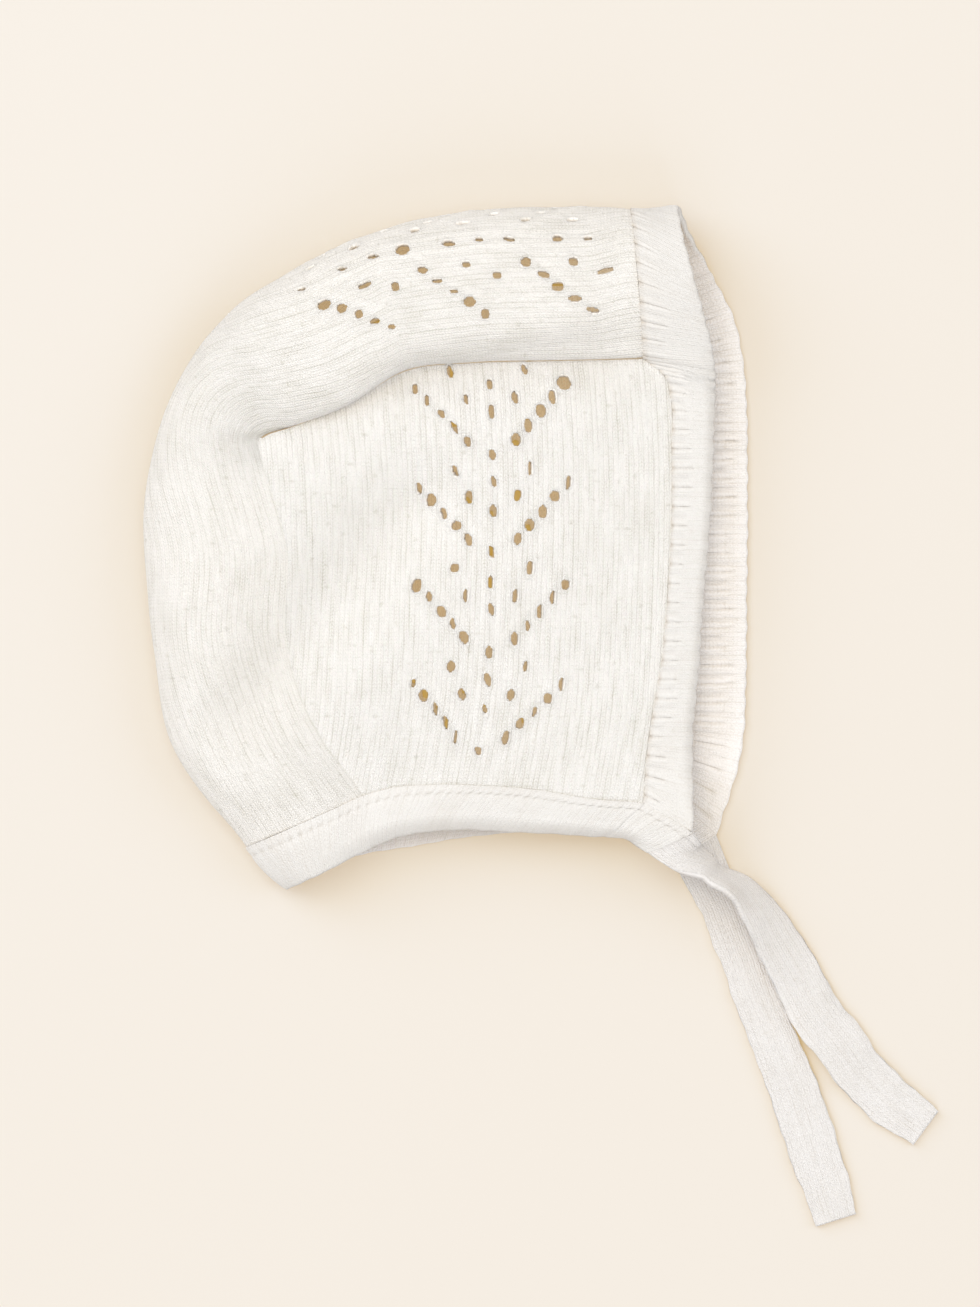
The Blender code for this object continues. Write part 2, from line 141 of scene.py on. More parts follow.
def wander(x, y, scale, phase):
    # sum of three slanted sine waves of different lengths, from about -1 to 1
    x, y = x / scale, y / scale
    return (
        np.sin(1.0 * x + 0.6 * y + phase)
        + np.sin(-0.7 * x + 1.1 * y + 2.3 * phase + 1.0)
        + np.sin(0.35 * x - 0.8 * y + 0.7 * phase + 4.0)
    ) / 3


def looseness(waves, x, y):
    # the slow unevenness of soft knit: a sum of waves, each given as its height, scale and phase
    return sum(height * wander(x, y, scale, phase) for height, scale, phase in waves)


# Lace: chevrons of eyelets as (row, column), the stem at column 0, repeated down the wales
lace = {
    "across": 0.00308, "columns": 6, "chevronRows": 7, "halfWide": (0.00046, 0.00125),
    "halfLong": (0.00118, 0.00172),
    "sizeBias": (1.1, 1.0),  # powers of the random size, the first above one for more narrow ones
    "stemNarrow": 0.5, "roundFrom": 0.0006, "rounding": 0.25, "tilt": 16,
    "leans": (0.9, 0.3),  # shares of the tilt left and right of the stem
    "leanSpread": 0.9, "jitter": (0.00018, 0.00022), "pullReach": 3.2,
    "pull": (3.0, 1.2),  # radius at which the pull on the wales has ended, and over how much it fades
    "cut": 0.80, "cutCorner": 0.30, "rim": 0.00016, "rimAt": 0.75, "rimWidth": 0.45,
    "puff": 0.00028, "wideOpen": 0.00160,
    "slantRib": (4.9, 0.55), "lowerRib": (8.3, 0.8, 0.6), "stemRib": (0.62, 0.30, 0.7),  # place, width, share
}
chevron = (
    [(row, side * (6 - row)) for side in (-1, 1) for row in range(5)]
    + [(row, side * place) for side in (-1, 1) for row, place in ((-1, 3), (1, 2))]
    + [(row, 0) for row in (0, 2, 5)]
)


def eyeletsOf(chevrons, rowPitch, firstRow, rows, randomSeed, wideOpen=()):
    # centre across and along, half width, half length and tilt of each eyelet, each a little different, and
    # the few at the named (row, column) pulled open into wide round ones
    s = lace
    chance = np.random.default_rng(randomSeed)
    repeats = range(chevrons)
    places = sorted({(k * s["chevronRows"] + row, place) for k in repeats for row, place in chevron})
    places = np.array([(row, place) for row, place in places if firstRow + row < rows], float)
    count = len(places)
    across = places[:, 1] * s["across"]
    along = (firstRow + places[:, 0] + 0.5) * rowPitch
    size = chance.uniform(0, 1, (count, 2)) ** s["sizeBias"]
    size[:, 0] *= np.where(places[:, 1] == 0, s["stemNarrow"], 1.0)  # those of the stem are drawn out
    wide = s["halfWide"][0] + size[:, 0] * (s["halfWide"][1] - s["halfWide"][0])
    long = s["halfLong"][0] + size[:, 1] * (s["halfLong"][1] - s["halfLong"][0])
    long = long - s["rounding"] * (wide - s["roundFrom"])
    left, right = s["leans"]
    spread = chance.uniform(-s["leanSpread"], s["leanSpread"], count)
    lean = -np.radians(s["tilt"]) * (np.where(across > 1e-6, right, left) + spread)
    across = across + chance.uniform(-1, 1, count) * s["jitter"][0]
    along = along + chance.uniform(-1, 1, count) * s["jitter"][1]
    pulled = np.array([tuple(place) in wideOpen for place in places.astype(int).tolist()])
    wide, long = (np.where(pulled, s["wideOpen"], half) for half in (wide, long))
    return np.stack([across, along, wide, long, lean], axis=1)


def openEyelets(across, along, eyelets):
    # in units of each ellipse a point at radius r moves out to (r cubed + 1) to the power of a third, which
    # opens a hole of radius one and bends the wales round it; points well inside are cut away
    across, along = across.copy(), along.copy()
    inside = np.full(across.shape, 9.0)
    rim = np.zeros(across.shape)
    ended, fade = lace["pull"]
    for middle, place, wide, long, lean in eyelets:
        reach = lace["pullReach"] * max(wide, long)
        near = (np.abs(across - middle) < reach) & (np.abs(along - place) < reach)
        p, q = across[near] - middle, along[near] - place
        cos, sin = np.cos(lean), np.sin(lean)
        a, b = (p * cos + q * sin) / wide, (-p * sin + q * cos) / long
        r = np.maximum(np.hypot(a, b), 1e-6)
        far = (r**3 + 1) ** (1 / 3) / r
        far = 1 + (far - 1) * np.clip((ended - r) / fade, 0, 1)
        a, b = a * far * wide, b * far * long
        across[near], along[near] = middle + a * cos - b * sin, place + a * sin + b * cos
        inside[near] = np.minimum(inside[near], r)
        rim[near] = np.maximum(rim[near], bell(r - lace["rimAt"], lace["rimWidth"]))
    return across, along, inside, rim


def lacePuff(across, along, rowPitch, firstRow, chevrons):
    # a soft raised rib of knit just inside each slanting line of eyelets, a lower one under it, and one along
    # both sides of the stem; places and widths are counted in the rows and columns of the lace
    col = np.abs(across) / lace["across"]
    row = along / rowPitch - firstRow - 0.5
    inLace = ease((row + 1.5) / 1.0) * ease((chevrons * lace["chevronRows"] - row) / 1.5)
    local = np.mod(row, lace["chevronRows"])
    (slantAt, slantWidth), (lowerAt, lowerWidth, lowerShare) = lace["slantRib"], lace["lowerRib"]
    stemAt, stemWidth, stemShare = lace["stemRib"]
    slant = bell(col + local - slantAt, slantWidth) * ease((local + 0.3) / 0.6) * ease((5.2 - local) / 0.8)
    lower = bell(col + local - lowerAt, lowerWidth) * ease((local - 2.2) / 1.0) * lowerShare
    stem = bell(col - stemAt, stemWidth) * stemShare
    return lace["puff"] * inLace * np.maximum(np.maximum(slant, lower), stem)


# Turning a grid of points into a mesh
def gridMesh(name, points, stitches, shade=None, inside=None, flip=False, joined=(0, 0, 0, 0)):
    # neighbouring points make quads, turned so that their fronts face out of the bonnet, and cut quads are
    # left out; joined says which of the first row, last row, first column and last column meet a neighbour
    rows, cols = points.shape[:2]
    index = np.arange(rows * cols).reshape(rows, cols)
    quads = np.stack([index[:-1, :-1], index[:-1, 1:], index[1:, 1:], index[1:, :-1]], axis=2).reshape(-1, 4)
    flat = points.reshape(-1, 3) + bonnet["shift"]
    if inside is not None:
        centre = inside.reshape(-1)[quads]
        quads = quads[(centre.min(axis=1) > lace["cutCorner"]) & (centre.mean(axis=1) > lace["cut"])]
    used, quads = np.unique(quads, return_inverse=True)
    quads = quads.reshape(-1, 4)[:, ::-1] if flip else quads.reshape(-1, 4)
    mesh = bpy.data.meshes.new(name)
    mesh.from_pydata(flat[used].tolist(), [], quads.tolist())
    layer = mesh.uv_layers.new(name="stitches")
    layer.data.foreach_set("uv", stitches.reshape(-1, 2)[used][quads.reshape(-1)].astype(np.float32).ravel())
    tone = np.zeros(len(used), np.float32) if shade is None else shade.reshape(-1)[used].astype(np.float32)
    mesh.attributes.new("shade", "FLOAT", "POINT").data.foreach_set("value", tone)
    mesh.polygons.foreach_set("use_smooth", np.ones(len(quads), bool))
    border = np.zeros((rows, cols), bool)
    every = slice(None)
    for side, place in zip(joined, ((0, every), (-1, every), (every, 0), (every, -1))):
        border[place] |= bool(side)
    ends = np.empty(2 * len(mesh.edges), np.int32)
    mesh.edges.foreach_get("vertices", ends)
    crisp = border.reshape(-1)[used][ends].reshape(-1, 2).all(axis=1)
    mesh.attributes.new("sharp_edge", "BOOLEAN", "EDGE").data.foreach_set("value", crisp)
    mesh.update()
    return addObject(name, mesh)


def addWall(obj, thickness):
    wall = obj.modifiers.new("wall", "SOLIDIFY")
    wall.thickness = thickness
    wall.offset = 0.0
    wall.use_quality_normals = True
    wall.material_offset = 1  # the inner face takes the piece's second material
    wall.material_offset_rim = 0


# Crown: one knitted strip over the top of the head and down its back, from seam to seam
crown = {
    "rowPitch": 0.00384, "halfWidth": 0.0355, "laceStart": 0.0096, "chevrons": 3,
    "cornerStation": 6, "wall": 0.0014, "farWidth": 0.020, "laceCells": 7, "rowCells": 6,
    "backRow": 0.00135, "startRows": 5, "sideCells": (24, 22), "wideOpen": [(12, 0)],
    "clearStart": 0.0022, "slitFrom": 0.004, "slitOver": 0.008, "slitNarrow": 0.45,
    "rise": (0.0, 0.22, 0.55, 0.93, 1.0), "riseFlush": (0.0, 0.20, 0.15, 0.0, 0.0),
    "flushFrom": 0.42, "flushOver": 0.15, "floor": 0.0008,
    "under": ((0.14, 0.16), (0.45, 0), (1.0, 0)), "valleyEnds": 0.054, "valleyFades": 0.020,
    "loose": [(0.00022, 0.0042, 0.4), (0.0003, 0.011, 1.9)], "dip": 0.00035, "seamFades": 0.04,
    "creaseShadowFrom": 0.145, "creaseShadowOver": 0.04, "firstLean": 0.08, "crestEnds": 0.80, "shoulderAt": 0.86,
    "shoulderHigh": 0.66, "quietEdges": (0.006, 0.010, 0.006), "dipWidth": 0.0009, "dipAtFace": 0.7,
    "seamShade": (0.8, 0.0008),
}
crownTable = {
    "along": [0, 0.086, 0.18, 0.267, 0.354, 0.429, 0.506, 0.593, 0.67, 0.773, 0.861, 1],
    "seamU": [0.827, 0.672, 0.538, 0.429, 0.328, 0.245, 0.190, 0.198, 0.232, 0.230, 0.269, 0.361],
    "seamV": [0.784, 0.781, 0.778, 0.766, 0.713, 0.684, 0.664, 0.614, 0.507, 0.367, 0.260, 0.138],
    "crestAt": [0.30, 0.20, 0.14, 0.12, 0.14, 0.11, 0.18, 0.28, 0.34, 0.34, 0.34, 0.30],
    "crestZ": [0.86, 0.90, 0.91, 0.90, 0.84, 0.73, 0.68, 0.68, 0.68, 0.68, 0.66, 0.56],
    "lean": [0.16, 0.12, 0.06, 0.02, 0.02, 0.04, 0.08, 0.12, 0.20, 0.20, 0.20, 0.20],
    "foldU": [0.806, 0.664, 0.513, 0.371, 0.235, 0.134, 0.057, 0.006, 0.000, 0.013, 0.037, 0.168],
    "foldV": [0.997, 1.000, 0.991, 0.959, 0.905, 0.843, 0.751, 0.618, 0.500, 0.352, 0.226, 0.064],
    "foldZ": [0.44, 0.42, 0.41, 0.40, 0.39, 0.38, 0.37, 0.36, 0.35, 0.33, 0.30, 0.24],
    "farU": [0.850, 0.690, 0.545, 0.417, 0.311, 0.235, 0.190, 0.178, 0.178, 0.193, 0.240, 0.345],
    "farV": [0.885, 0.893, 0.885, 0.852, 0.803, 0.751, 0.692, 0.604, 0.485, 0.345, 0.235, 0.124],
}
folds = {
    "fromU": [0.23, 0.42, 0.48, 0.30, 0.30, 0.240],
    "fromV": [0.680, 0.765, 0.600, 0.650, 0.260, 0.676],
    "toU": [0.42, 0.78, 0.12, 0.04, 0.50, 0.125],
    "toV": [0.765, 0.785, 0.210, 0.430, 0.520, 0.660],
    "halfWidth": [0.035, 0.035, 0.050, 0.060, 0.070, 0.012],
    "depth": [0.10, 0.12, 0.23, -0.07, -0.03, 0.035],
}
plainFolds = 2  # the first folds are only the panel's; the later ones run on over the crown


def foldShare(u, v, first=0, last=None):
    # each fold is a trough with a bell shaped section, fading out past its two ends; a negative depth is a
    # ridge; the result is a share of the lying height
    tall = bonnet["height"] / bonnet["depth"]
    total = 0 * u
    for fromU, fromV, toU, toV, halfWidth, depth in list(zip(*folds.values()))[first:last]:
        run = np.array([toU - fromU, (toV - fromV) * tall])
        length = np.linalg.norm(run)
        du, dv = u - fromU, (v - fromV) * tall
        along = (du * run[0] + dv * run[1]) / length**2
        across = (dv * run[0] - du * run[1]) / length
        ends = ease(along / 0.24 + 0.5) * ease((1 - along) / 0.24 + 0.5)
        total = total + depth * ends * np.exp(-0.5 * (across / halfWidth) ** 2)
    return total


upperSwell = {"edge": 0.50, "more": 0.17, "fromFace": (0.95, 0.40), "fromNeck": (0.06, 0.34)}


def upperZ(u, v, last=None):
    # height of the upper layer: low at the face and neck edges, swelling inwards, less the folds in it
    s = upperSwell
    (face, faceOver), (neck, neckOver) = s["fromFace"], s["fromNeck"]
    share = s["edge"] + s["more"] * ease((face - u) / faceOver) * ease((v - neck) / neckOver)
    return (share - foldShare(u, v, last=last)) * bonnet["lying"]


def crownSection(at, count=240):
    # up from the seam, along the crest, down the shoulder to the fold and under to the lower seam, one curve
    row = {name: float(column(crownTable, name, at)) for name in crownTable if name != "along"}
    edges = [np.array([planX(row[name + "U"]), planY(row[name + "V"])]) for name in ("seam", "fold", "far")]
    seam, fold, far = edges
    low = float(upperZ(row["seamU"], row["seamV"], last=plainFolds))
    crest, edge, floor = row["crestZ"] * bonnet["lying"], row["foldZ"] * bonnet["lying"], crown["floor"]
    lean = row["lean"] * bonnet["lying"] / np.linalg.norm(fold - seam)
    between = 0.5 * (row["crestAt"] + crown["crestEnds"])
    shares = [0.0, crown["firstLean"] * lean, lean, row["crestAt"], between, crown["shoulderAt"], 1.0]
    # down the back the crown leaves its seam without a step
    flush = float(ease((at - crown["flushFrom"]) / crown["flushOver"]))
    rises = [part - less * flush for part, less in zip(crown["rise"], crown["riseFlush"])]
    heights = [low + (crest - low) * part for part in rises]
    heights += [edge + (crest - edge) * crown["shoulderHigh"], edge]
    points = [(*(seam + share * (fold - seam)), z) for share, z in zip(shares, heights)]
    points += [(*(fold + s * (far - fold)), floor + k * (edge - floor)) for s, k in crown["under"]]
    points = np.array(points)
    keys = lengthsAlong(points)
    section = smoothCurve(keys, points, np.linspace(0, keys[-1], count))
    section[:, 2] = np.maximum(section[:, 2], floor)
    return section


laceEdge = (lace["columns"] + 0.5) * lace["across"]
crownLaceEnd = crown["halfWidth"] + laceEdge


def crownSheet():
    # a table of points by distance along the strip and across it; past the lace the rest is stretched to fit
    stations = np.linspace(0, 1, 241)
    beyondLace = crownLaceEnd + np.linspace(0, crown["farWidth"], 80)[1:]
    across = np.concatenate([np.linspace(0, crownLaceEnd, 200), beyondLace])
    table, middle = [], []
    for at in stations:
        section = crownSection(at)
        whole = lengthsAlong(section)[-1]
        past = (across - crownLaceEnd) / crown["farWidth"]
        reached = np.where(past <= 0, across, crownLaceEnd + past * (whole - crownLaceEnd))
        table.append(lineAt(section, reached))
        middle.append(lineAt(section, [crown["halfWidth"]])[0])
    along = lengthsAlong(np.array(middle))
    corner = np.interp(crownTable["along"][crown["cornerStation"]], stations, along)
    return along, across, np.array(table), corner


crownAlong, crownAcross, crownPoints, crownCorner = crownSheet()


def crownAt(along, across):
    # bilinear reading of the table
    def between(stops, at):
        i = np.clip(np.searchsorted(stops, at, side="right") - 1, 0, len(stops) - 2)
        return i, np.clip((at - stops[i]) / (stops[i + 1] - stops[i]), 0, 1)[..., None]

    (i, f), (j, g) = between(crownAlong, along), between(crownAcross, across)
    top = crownPoints[i, j] * (1 - g) + crownPoints[i, j + 1] * g
    end = crownPoints[i + 1, j] * (1 - g) + crownPoints[i + 1, j + 1] * g
    return top * (1 - f) + end * f


knit = {"wale": 0.00125, "course": 0.00090}


def lowSeam(share):
    # the seam down the back shows faintly, and only low down
    return 0.45 * ease((share - 0.50) / 0.20)


def makeCrown():
    # the strip's table is read where the eyelets have moved each point to, then raised along its normals by
    # the ribs of the lace and slow waves, and lowered by the valley and at the seams
    s = crown
    rows = s["chevrons"] * lace["chevronRows"] * s["rowCells"]
    laceRows = s["laceStart"] + np.linspace(0, rows / s["rowCells"] * s["rowPitch"], rows + 1)
    backCells = round((crownAlong[-1] - laceRows[-1]) / s["backRow"])
    backRows = np.linspace(laceRows[-1], crownAlong[-1], backCells + 1)
    startRows = np.linspace(0, s["laceStart"], s["startRows"] + 1)
    along = np.concatenate([startRows[:-1], laceRows, backRows[1:]])
    start, cells = s["halfWidth"] - laceEdge, (2 * lace["columns"] + 1) * s["laceCells"]
    near, far = s["sideCells"]
    across = inSpans((0, start, crownLaceEnd, crownAcross[-1]), (near, cells, far))
    along, across = np.meshgrid(along, across, indexing="ij")
    firstRow = s["laceStart"] / s["rowPitch"]
    eyelets = eyeletsOf(s["chevrons"], s["rowPitch"], firstRow, np.inf, seed, s["wideOpen"])
    eyelets = eyelets[eyelets[:, 1] > s["clearStart"]]
    # towards the fold the knit is drawn over the shoulder, and the eyelets there close into slits
    eyelets[:, 2] *= 1 - s["slitNarrow"] * ease((eyelets[:, 0] - s["slitFrom"]) / s["slitOver"])
    moved, down, inside, rim = openEyelets(across - s["halfWidth"], along, eyelets)
    points = crownAt(down, moved + s["halfWidth"])
    # the slanting valley of the side runs on over the back of the crown
    u, v = points[..., 0] / bonnet["depth"] + 0.5, points[..., 1] / bonnet["height"] + 0.5
    reaches = ease((s["valleyEnds"] - across) / s["valleyFades"])
    points[..., 2] = points[..., 2] - bonnet["lying"] * (foldShare(u, v, first=plainFolds) * reaches)
    normals = upNormals(points, 3, 40)
    puff = lacePuff(across - s["halfWidth"], along, s["rowPitch"], firstRow, s["chevrons"])
    atSeam, atFar, atFace = s["quietEdges"]
    quiet = ease(across / atSeam) * ease((crownAcross[-1] - across) / atFar) * ease(along / atFace)
    lift = puff + lace["rim"] * rim + quiet * looseness(s["loose"], across, along)
    points = points + normals * lift[..., None]
    points[..., 2] = np.maximum(points[..., 2], s["wall"] / 2 + 0.00005)
    stitches = np.stack([(across - s["halfWidth"]) / knit["wale"], along / knit["course"]], axis=2)
    # the edges dip a little into their seams: fully along the top, then hardly at all past the corner
    share = (along - crownCorner) / (crownAlong[-1] - crownCorner)
    shows = np.where(share < 0, 1.0, ease(1 - share / s["seamFades"]) + lowSeam(share))
    dip = bell(across, s["dipWidth"]) * shows + s["dipAtFace"] * bell(along, s["dipWidth"])
    points = points - normals * (s["dip"] * dip)[..., None]
    # past the corner the crease fades out over the crown as a thin warm painted shadow line
    creaseShadowLine = np.clip(foldShare(u, v, first=-1) / folds["depth"][-1], 0, 1) ** 3
    creaseShadowLine = creaseShadowLine * ease((u - s["creaseShadowFrom"]) / s["creaseShadowOver"])
    # the seam edges are painted darker as shade where they dip
    dark, width = s["seamShade"]
    shade = np.clip(dark * bell(across, width) * shows + creaseShadowLine, 0, 1)
    return gridMesh("crownPanel", points, stitches, shade, inside, joined=(1, 1, 1, 1)), points


# Upper side panel, with its lace stem running from the crown to the neck
upperPanel = {
    "v": [0.126, 0.210, 0.273, 0.331, 0.432, 0.520, 0.654, 0.729, 0.764, 0.784],
    "frontU": [0.828, 0.835, 0.846, 0.857, 0.868, 0.874, 0.875, 0.873, 0.860, 0.830],
    "stemU": [0.540, 0.556, 0.565, 0.569, 0.573, 0.576, 0.575, 0.571, 0.568, 0.565],
    "rows": 30, "firstRow": 1, "chevrons": 4, "laceCells": 7, "rowCells": 6, "sideCells": (50, 34),
    "sideReach": 0.026, "length": 0.106, "wall": 0.0014, "gaps": (0.0008, 0.00003),
    "wideOpen": [(0, 6)], "loose": [(0.00020, 0.0040, 2.4), (0.00035, 0.012, 0.7)], "dip": 0.00035,
    "quietEdges": (0.004, 0.04), "dipWidth": 0.0010, "dipAtNeck": 0.6, "backWidth": 0.0008,
    "underWidth": 0.0013, "underFrom": (0.40, 0.12), "shades": (0.5, 0.5, 0.7),
}
upperNeck = {
    "u": [0.361, 0.413, 0.471, 0.565, 0.655, 0.740, 0.828],
    "v": [0.138, 0.149, 0.152, 0.151, 0.144, 0.131, 0.126],
}
lowerPanel = {
    "v": [0.124, 0.160, 0.218, 0.290, 0.460, 0.654, 0.760, 0.825, 0.885],
    "frontU": [0.893, 0.898, 0.902, 0.904, 0.904, 0.904, 0.902, 0.890, 0.852],
    "stemU": [0.555, 0.560, 0.565, 0.570, 0.572, 0.574, 0.574, 0.574, 0.574],
    "laceCells": 5, "rowCells": 4, "sideCells": (33, 33), "wall": 0.0014, "gaps": (0.0005, 0.0005),
    "clearance": 0.00012, "loose": [(0.0001, 0.006, 1.1)], "glowFades": (0.016, 0.012),
}
lowerNeck = {"u": [0.345, 0.487, 0.622, 0.756, 0.893], "v": [0.124, 0.134, 0.141, 0.134, 0.124]}


def beside(line, aside):
    run = unit(np.gradient(line, axis=0))
    return line + aside * np.stack([-run[:, 1], run[:, 0]], axis=1)


def panelOutline(seam, corner, gaps, rows):
    # the panel's top edge under the crown's seam, and its back edge beside it, at even heights
    top = beside(seam[: corner + 1], gaps[0])[::-1]
    back = beside(seam[corner:], gaps[1])[::-1]
    cornerY = np.interp(back[-1, 0], top[:, 0], top[:, 1])
    backY = np.linspace(cornerY, back[0, 1], rows + 1)
    return top, backY, np.interp(backY, back[:, 1], back[:, 0])


def panelShape(table, neckTable, seam, corner, rows):
    # a function from (across, down) to plan x and y: across is metres from the lace stem inside the lace, and
    # past it is stretched to the edges; down is a share of the way from the crown seam to the neck
    top, backY, backX = panelOutline(seam, corner, table["gaps"], rows)
    t = np.linspace(0, 1, rows + 1)
    vOfRow = np.linspace(table["v"][-1], table["v"][0], rows + 1)
    stem, front = planX(column(table, "stemU", vOfRow, "v")), planX(column(table, "frontU", vOfRow, "v"))
    reach = laceEdge + upperPanel["sideReach"]

    def xOf(across, down):
        s, f, b = np.interp(down, t, stem), np.interp(down, t, front), np.interp(down, t, backX)
        back = (across + reach) / upperPanel["sideReach"]
        fore = (across - laceEdge) / upperPanel["sideReach"]
        x = np.where(across < -laceEdge, b + back * (s - laceEdge - b), s + across)
        return np.where(across > laceEdge, s + laceEdge + fore * (f - s - laceEdge), x)

    def place(across, down):
        startY = np.interp(xOf(across, np.zeros_like(across)), top[:, 0], top[:, 1])
        endX = xOf(across, np.ones_like(across))
        endY = planY(column(neckTable, "v", (endX / bonnet["depth"] + 0.5).ravel(), "u").reshape(endX.shape))
        endY = endY + (backY[-1] - endY) * ease((backX[-1] + 0.002 - endX) / 0.002)
        return xOf(across, down), startY + down * (endY - startY), np.interp(down, t, stem)

    return place, reach


seamLine = crownPoints[:, 0, :2]
cornerIndex = int(np.argmin(np.abs(crownAlong - crownCorner)))


def panelGrid(table, neckTable, seam, chance, wideOpen=()):
    # the rows and columns of a side panel on the plan, with its eyelets opened and its stitches counted from
    # where the knit lay before they were
    rows = upperPanel["rows"] * table["rowCells"]
    place, reach = panelShape(table, neckTable, seam, cornerIndex, rows)
    back, fore = table["sideCells"]
    cells = (2 * lace["columns"] + 1) * table["laceCells"]
    across = inSpans((-reach, -laceEdge, laceEdge, reach), (back, cells, fore))
    down, across = np.meshgrid(np.linspace(0, 1, rows + 1), across, indexing="ij")
    length, pitch = upperPanel["length"], upperPanel["length"] / upperPanel["rows"]
    first, chevrons = upperPanel["firstRow"], upperPanel["chevrons"]
    eyelets = eyeletsOf(chevrons, pitch, first, upperPanel["rows"] - 1, chance, wideOpen)
    moved, metres, inside, rim = openEyelets(across, down * length, eyelets)
    x, y, _ = place(moved, np.clip(metres / length, 0, 1))
    plainX, plainY, stem = place(across, down)
    stitches = np.stack([(plainX - stem) / knit["wale"], plainY / knit["course"]], axis=2)
    raised = lacePuff(across, down * length, pitch, first, chevrons) + lace["rim"] * rim
    return across, down, reach, x, y, raised, inside, stitches


def makeUpperPanel():
    # the panel's grid on the plan, at the height of the upper layer, plus lace ribs and slow waves
    s = upperPanel
    grid = panelGrid(s, upperNeck, seamLine, seed + 1, s["wideOpen"])
    across, down, reach, x, y, raised, inside, stitches = grid
    sides, ends = s["quietEdges"]
    quiet = ease((reach - np.abs(across)) / sides) * ease(down / ends) * ease((1 - down) / ends)
    u, v = x / bonnet["depth"] + 0.5, y / bonnet["height"] + 0.5
    z = upperZ(u, v) + raised + quiet * looseness(s["loose"], x, y)
    # the edges dip a little into the seams at the face and neck, and faintly low down the back
    atNeck = s["dipAtNeck"] * bell((1 - down) * s["length"], s["dipWidth"])
    fore = bell(reach - across, s["dipWidth"]) + atNeck
    back = bell(reach + across, s["backWidth"]) * lowSeam(down)
    z = z - s["dip"] * (fore + back)
    # a soft painted shadow line on the side just under the low end of the crown's rolled edge
    starts, over = s["underFrom"]
    under = bell(down * s["length"], s["underWidth"]) * ease((starts - u) / over)
    # the dipping edges and that line are painted darker as shade
    foreShade, backShade, underShade = s["shades"]
    shade = np.clip(foreShade * fore + backShade * back + underShade * under, 0, 1)
    points = np.stack([x, y, z], axis=2)
    return gridMesh("sidePanelRight", points, stitches, shade, inside, flip=True, joined=(1, 1, 1, 1)), points


def makeLowerPanel(farLine):
    # the same kind of grid, flat on the floor at half its wall, plus slow waves
    s = lowerPanel
    across, _, reach, x, y, _, inside, stitches = panelGrid(s, lowerNeck, farLine, seed + 2)
    z = np.full(x.shape, s["wall"] / 2) + s["clearance"] + looseness(s["loose"], x, y)
    points = np.stack([x, y, z], axis=2)
    # the painted glow that stands in for light coming through fades towards the face, where the floor and the
    # bands take over, and the same mask paints a little shade there
    shade = ease((across - reach + s["glowFades"][0]) / s["glowFades"][1])
    return gridMesh("sidePanelLeft", points, stitches, shade, inside, joined=(1, 1, 1, 1)), points


# Ribbed band round the face, picked up from the front edges of the three panels
faceBand = {
    "rib": 0.0047, "relief": 0.00115, "groove": 0.095, "crownHeight": 0.00055, "curl": 0.0026,
    "scallop": 0.00016, "wall": 0.0017, "gap": 0.00003, "farLift": 0.0010, "across": 24,
    "perRib": 12, "course": 0.00092, "deep": (0.42, 1.0), "ends": (0.34, 0.62), "farEnds": 0.34,
    "farFrom": (1.85, 0.30), "bend": 0.05, "roll": 0.00018, "uneven": 0.00012, "drawnIn": 0.0009,
    "ragged": 0.00022, "overCrown": 0.35, "endsFade": 0.20, "bendOver": 0.6, "puffed": 0.35,
    "rollAt": (0.86, 0.12), "curlFrom": 0.68, "nearSide": (0.12, 1.15, 0.25), "grooveShade": 0.9,
    "seamShadeDots": (0.06, 0.20),
}
faceEdge = {
    "along": [0, 0.15, 0.30, 0.45, 0.60, 0.75, 0.90, 1.0, 1.2, 1.4, 1.58, 1.72,
              1.88, 2.0, 2.15, 2.3, 2.5, 2.7, 2.85, 3],
    "u": [0.908, 0.911, 0.921, 0.927, 0.938, 0.944, 0.948, 0.946, 0.930, 0.909, 0.890, 0.885,
          0.904, 0.938, 0.983, 0.998, 1.000, 0.999, 0.992, 0.951],
    "v": [0.084, 0.226, 0.325, 0.419, 0.519, 0.618, 0.715, 0.763, 0.828, 0.893, 0.962, 1.000,
          0.965, 0.916, 0.828, 0.722, 0.559, 0.367, 0.210, 0.078],
    "z": [0.50, 0.50, 0.50, 0.50, 0.50, 0.50, 0.51, 0.54, 0.68, 0.78, 0.72, 0.46,
          0.20, 0.06, 0.0, 0.0, 0.0, 0.0, 0.0, 0.0],
}


def beyond(edge, inner, gap):
    # an edge moved out of its surface, square to itself
    along = unit(np.gradient(edge, axis=0))
    out = edge - inner
    out = out - along * np.sum(out * along, axis=1, keepdims=True)
    return edge + gap * unit(out)


def bandGrid(legs, edgeTable, counts, across, level=()):
    # straight lines from the joined edge to the free edge, and for each column the share of its leg; on the
    # level legs each line runs across at its own height on the plan, except near the corners
    inner, at = [], []
    for leg, (points, count) in enumerate(zip(legs, counts)):
        last = leg == len(legs) - 1
        inner.append(evenly(points, count + 1)[: count + 1 if last else count])
        at.append(leg + np.arange(len(inner[-1])) / count)
    inner, at = np.concatenate(inner), np.concatenate(at)
    reached = at.copy()
    for leg in level:
        mine = (at >= leg) & (at <= leg + 1)
        along = np.linspace(leg, leg + 1, 400)
        height = planY(column(edgeTable, "v", along))
        turn = 1 if height[-1] > height[0] else -1
        same = np.interp(turn * inner[mine, 1], np.maximum.accumulate(turn * height), along)
        weight = ease((at[mine] - leg) / 0.22) * ease((leg + 1 - at[mine]) / 0.22)
        reached[mine] = at[mine] + weight * (same - at[mine])
    outer = np.stack([planX(column(edgeTable, "u", reached)), planY(column(edgeTable, "v", reached)),
                      column(edgeTable, "z", reached) * bonnet["lying"]], axis=1)
    share = np.linspace(0, 1, across + 1)[:, None, None]
    return inner + share * (outer - inner), at


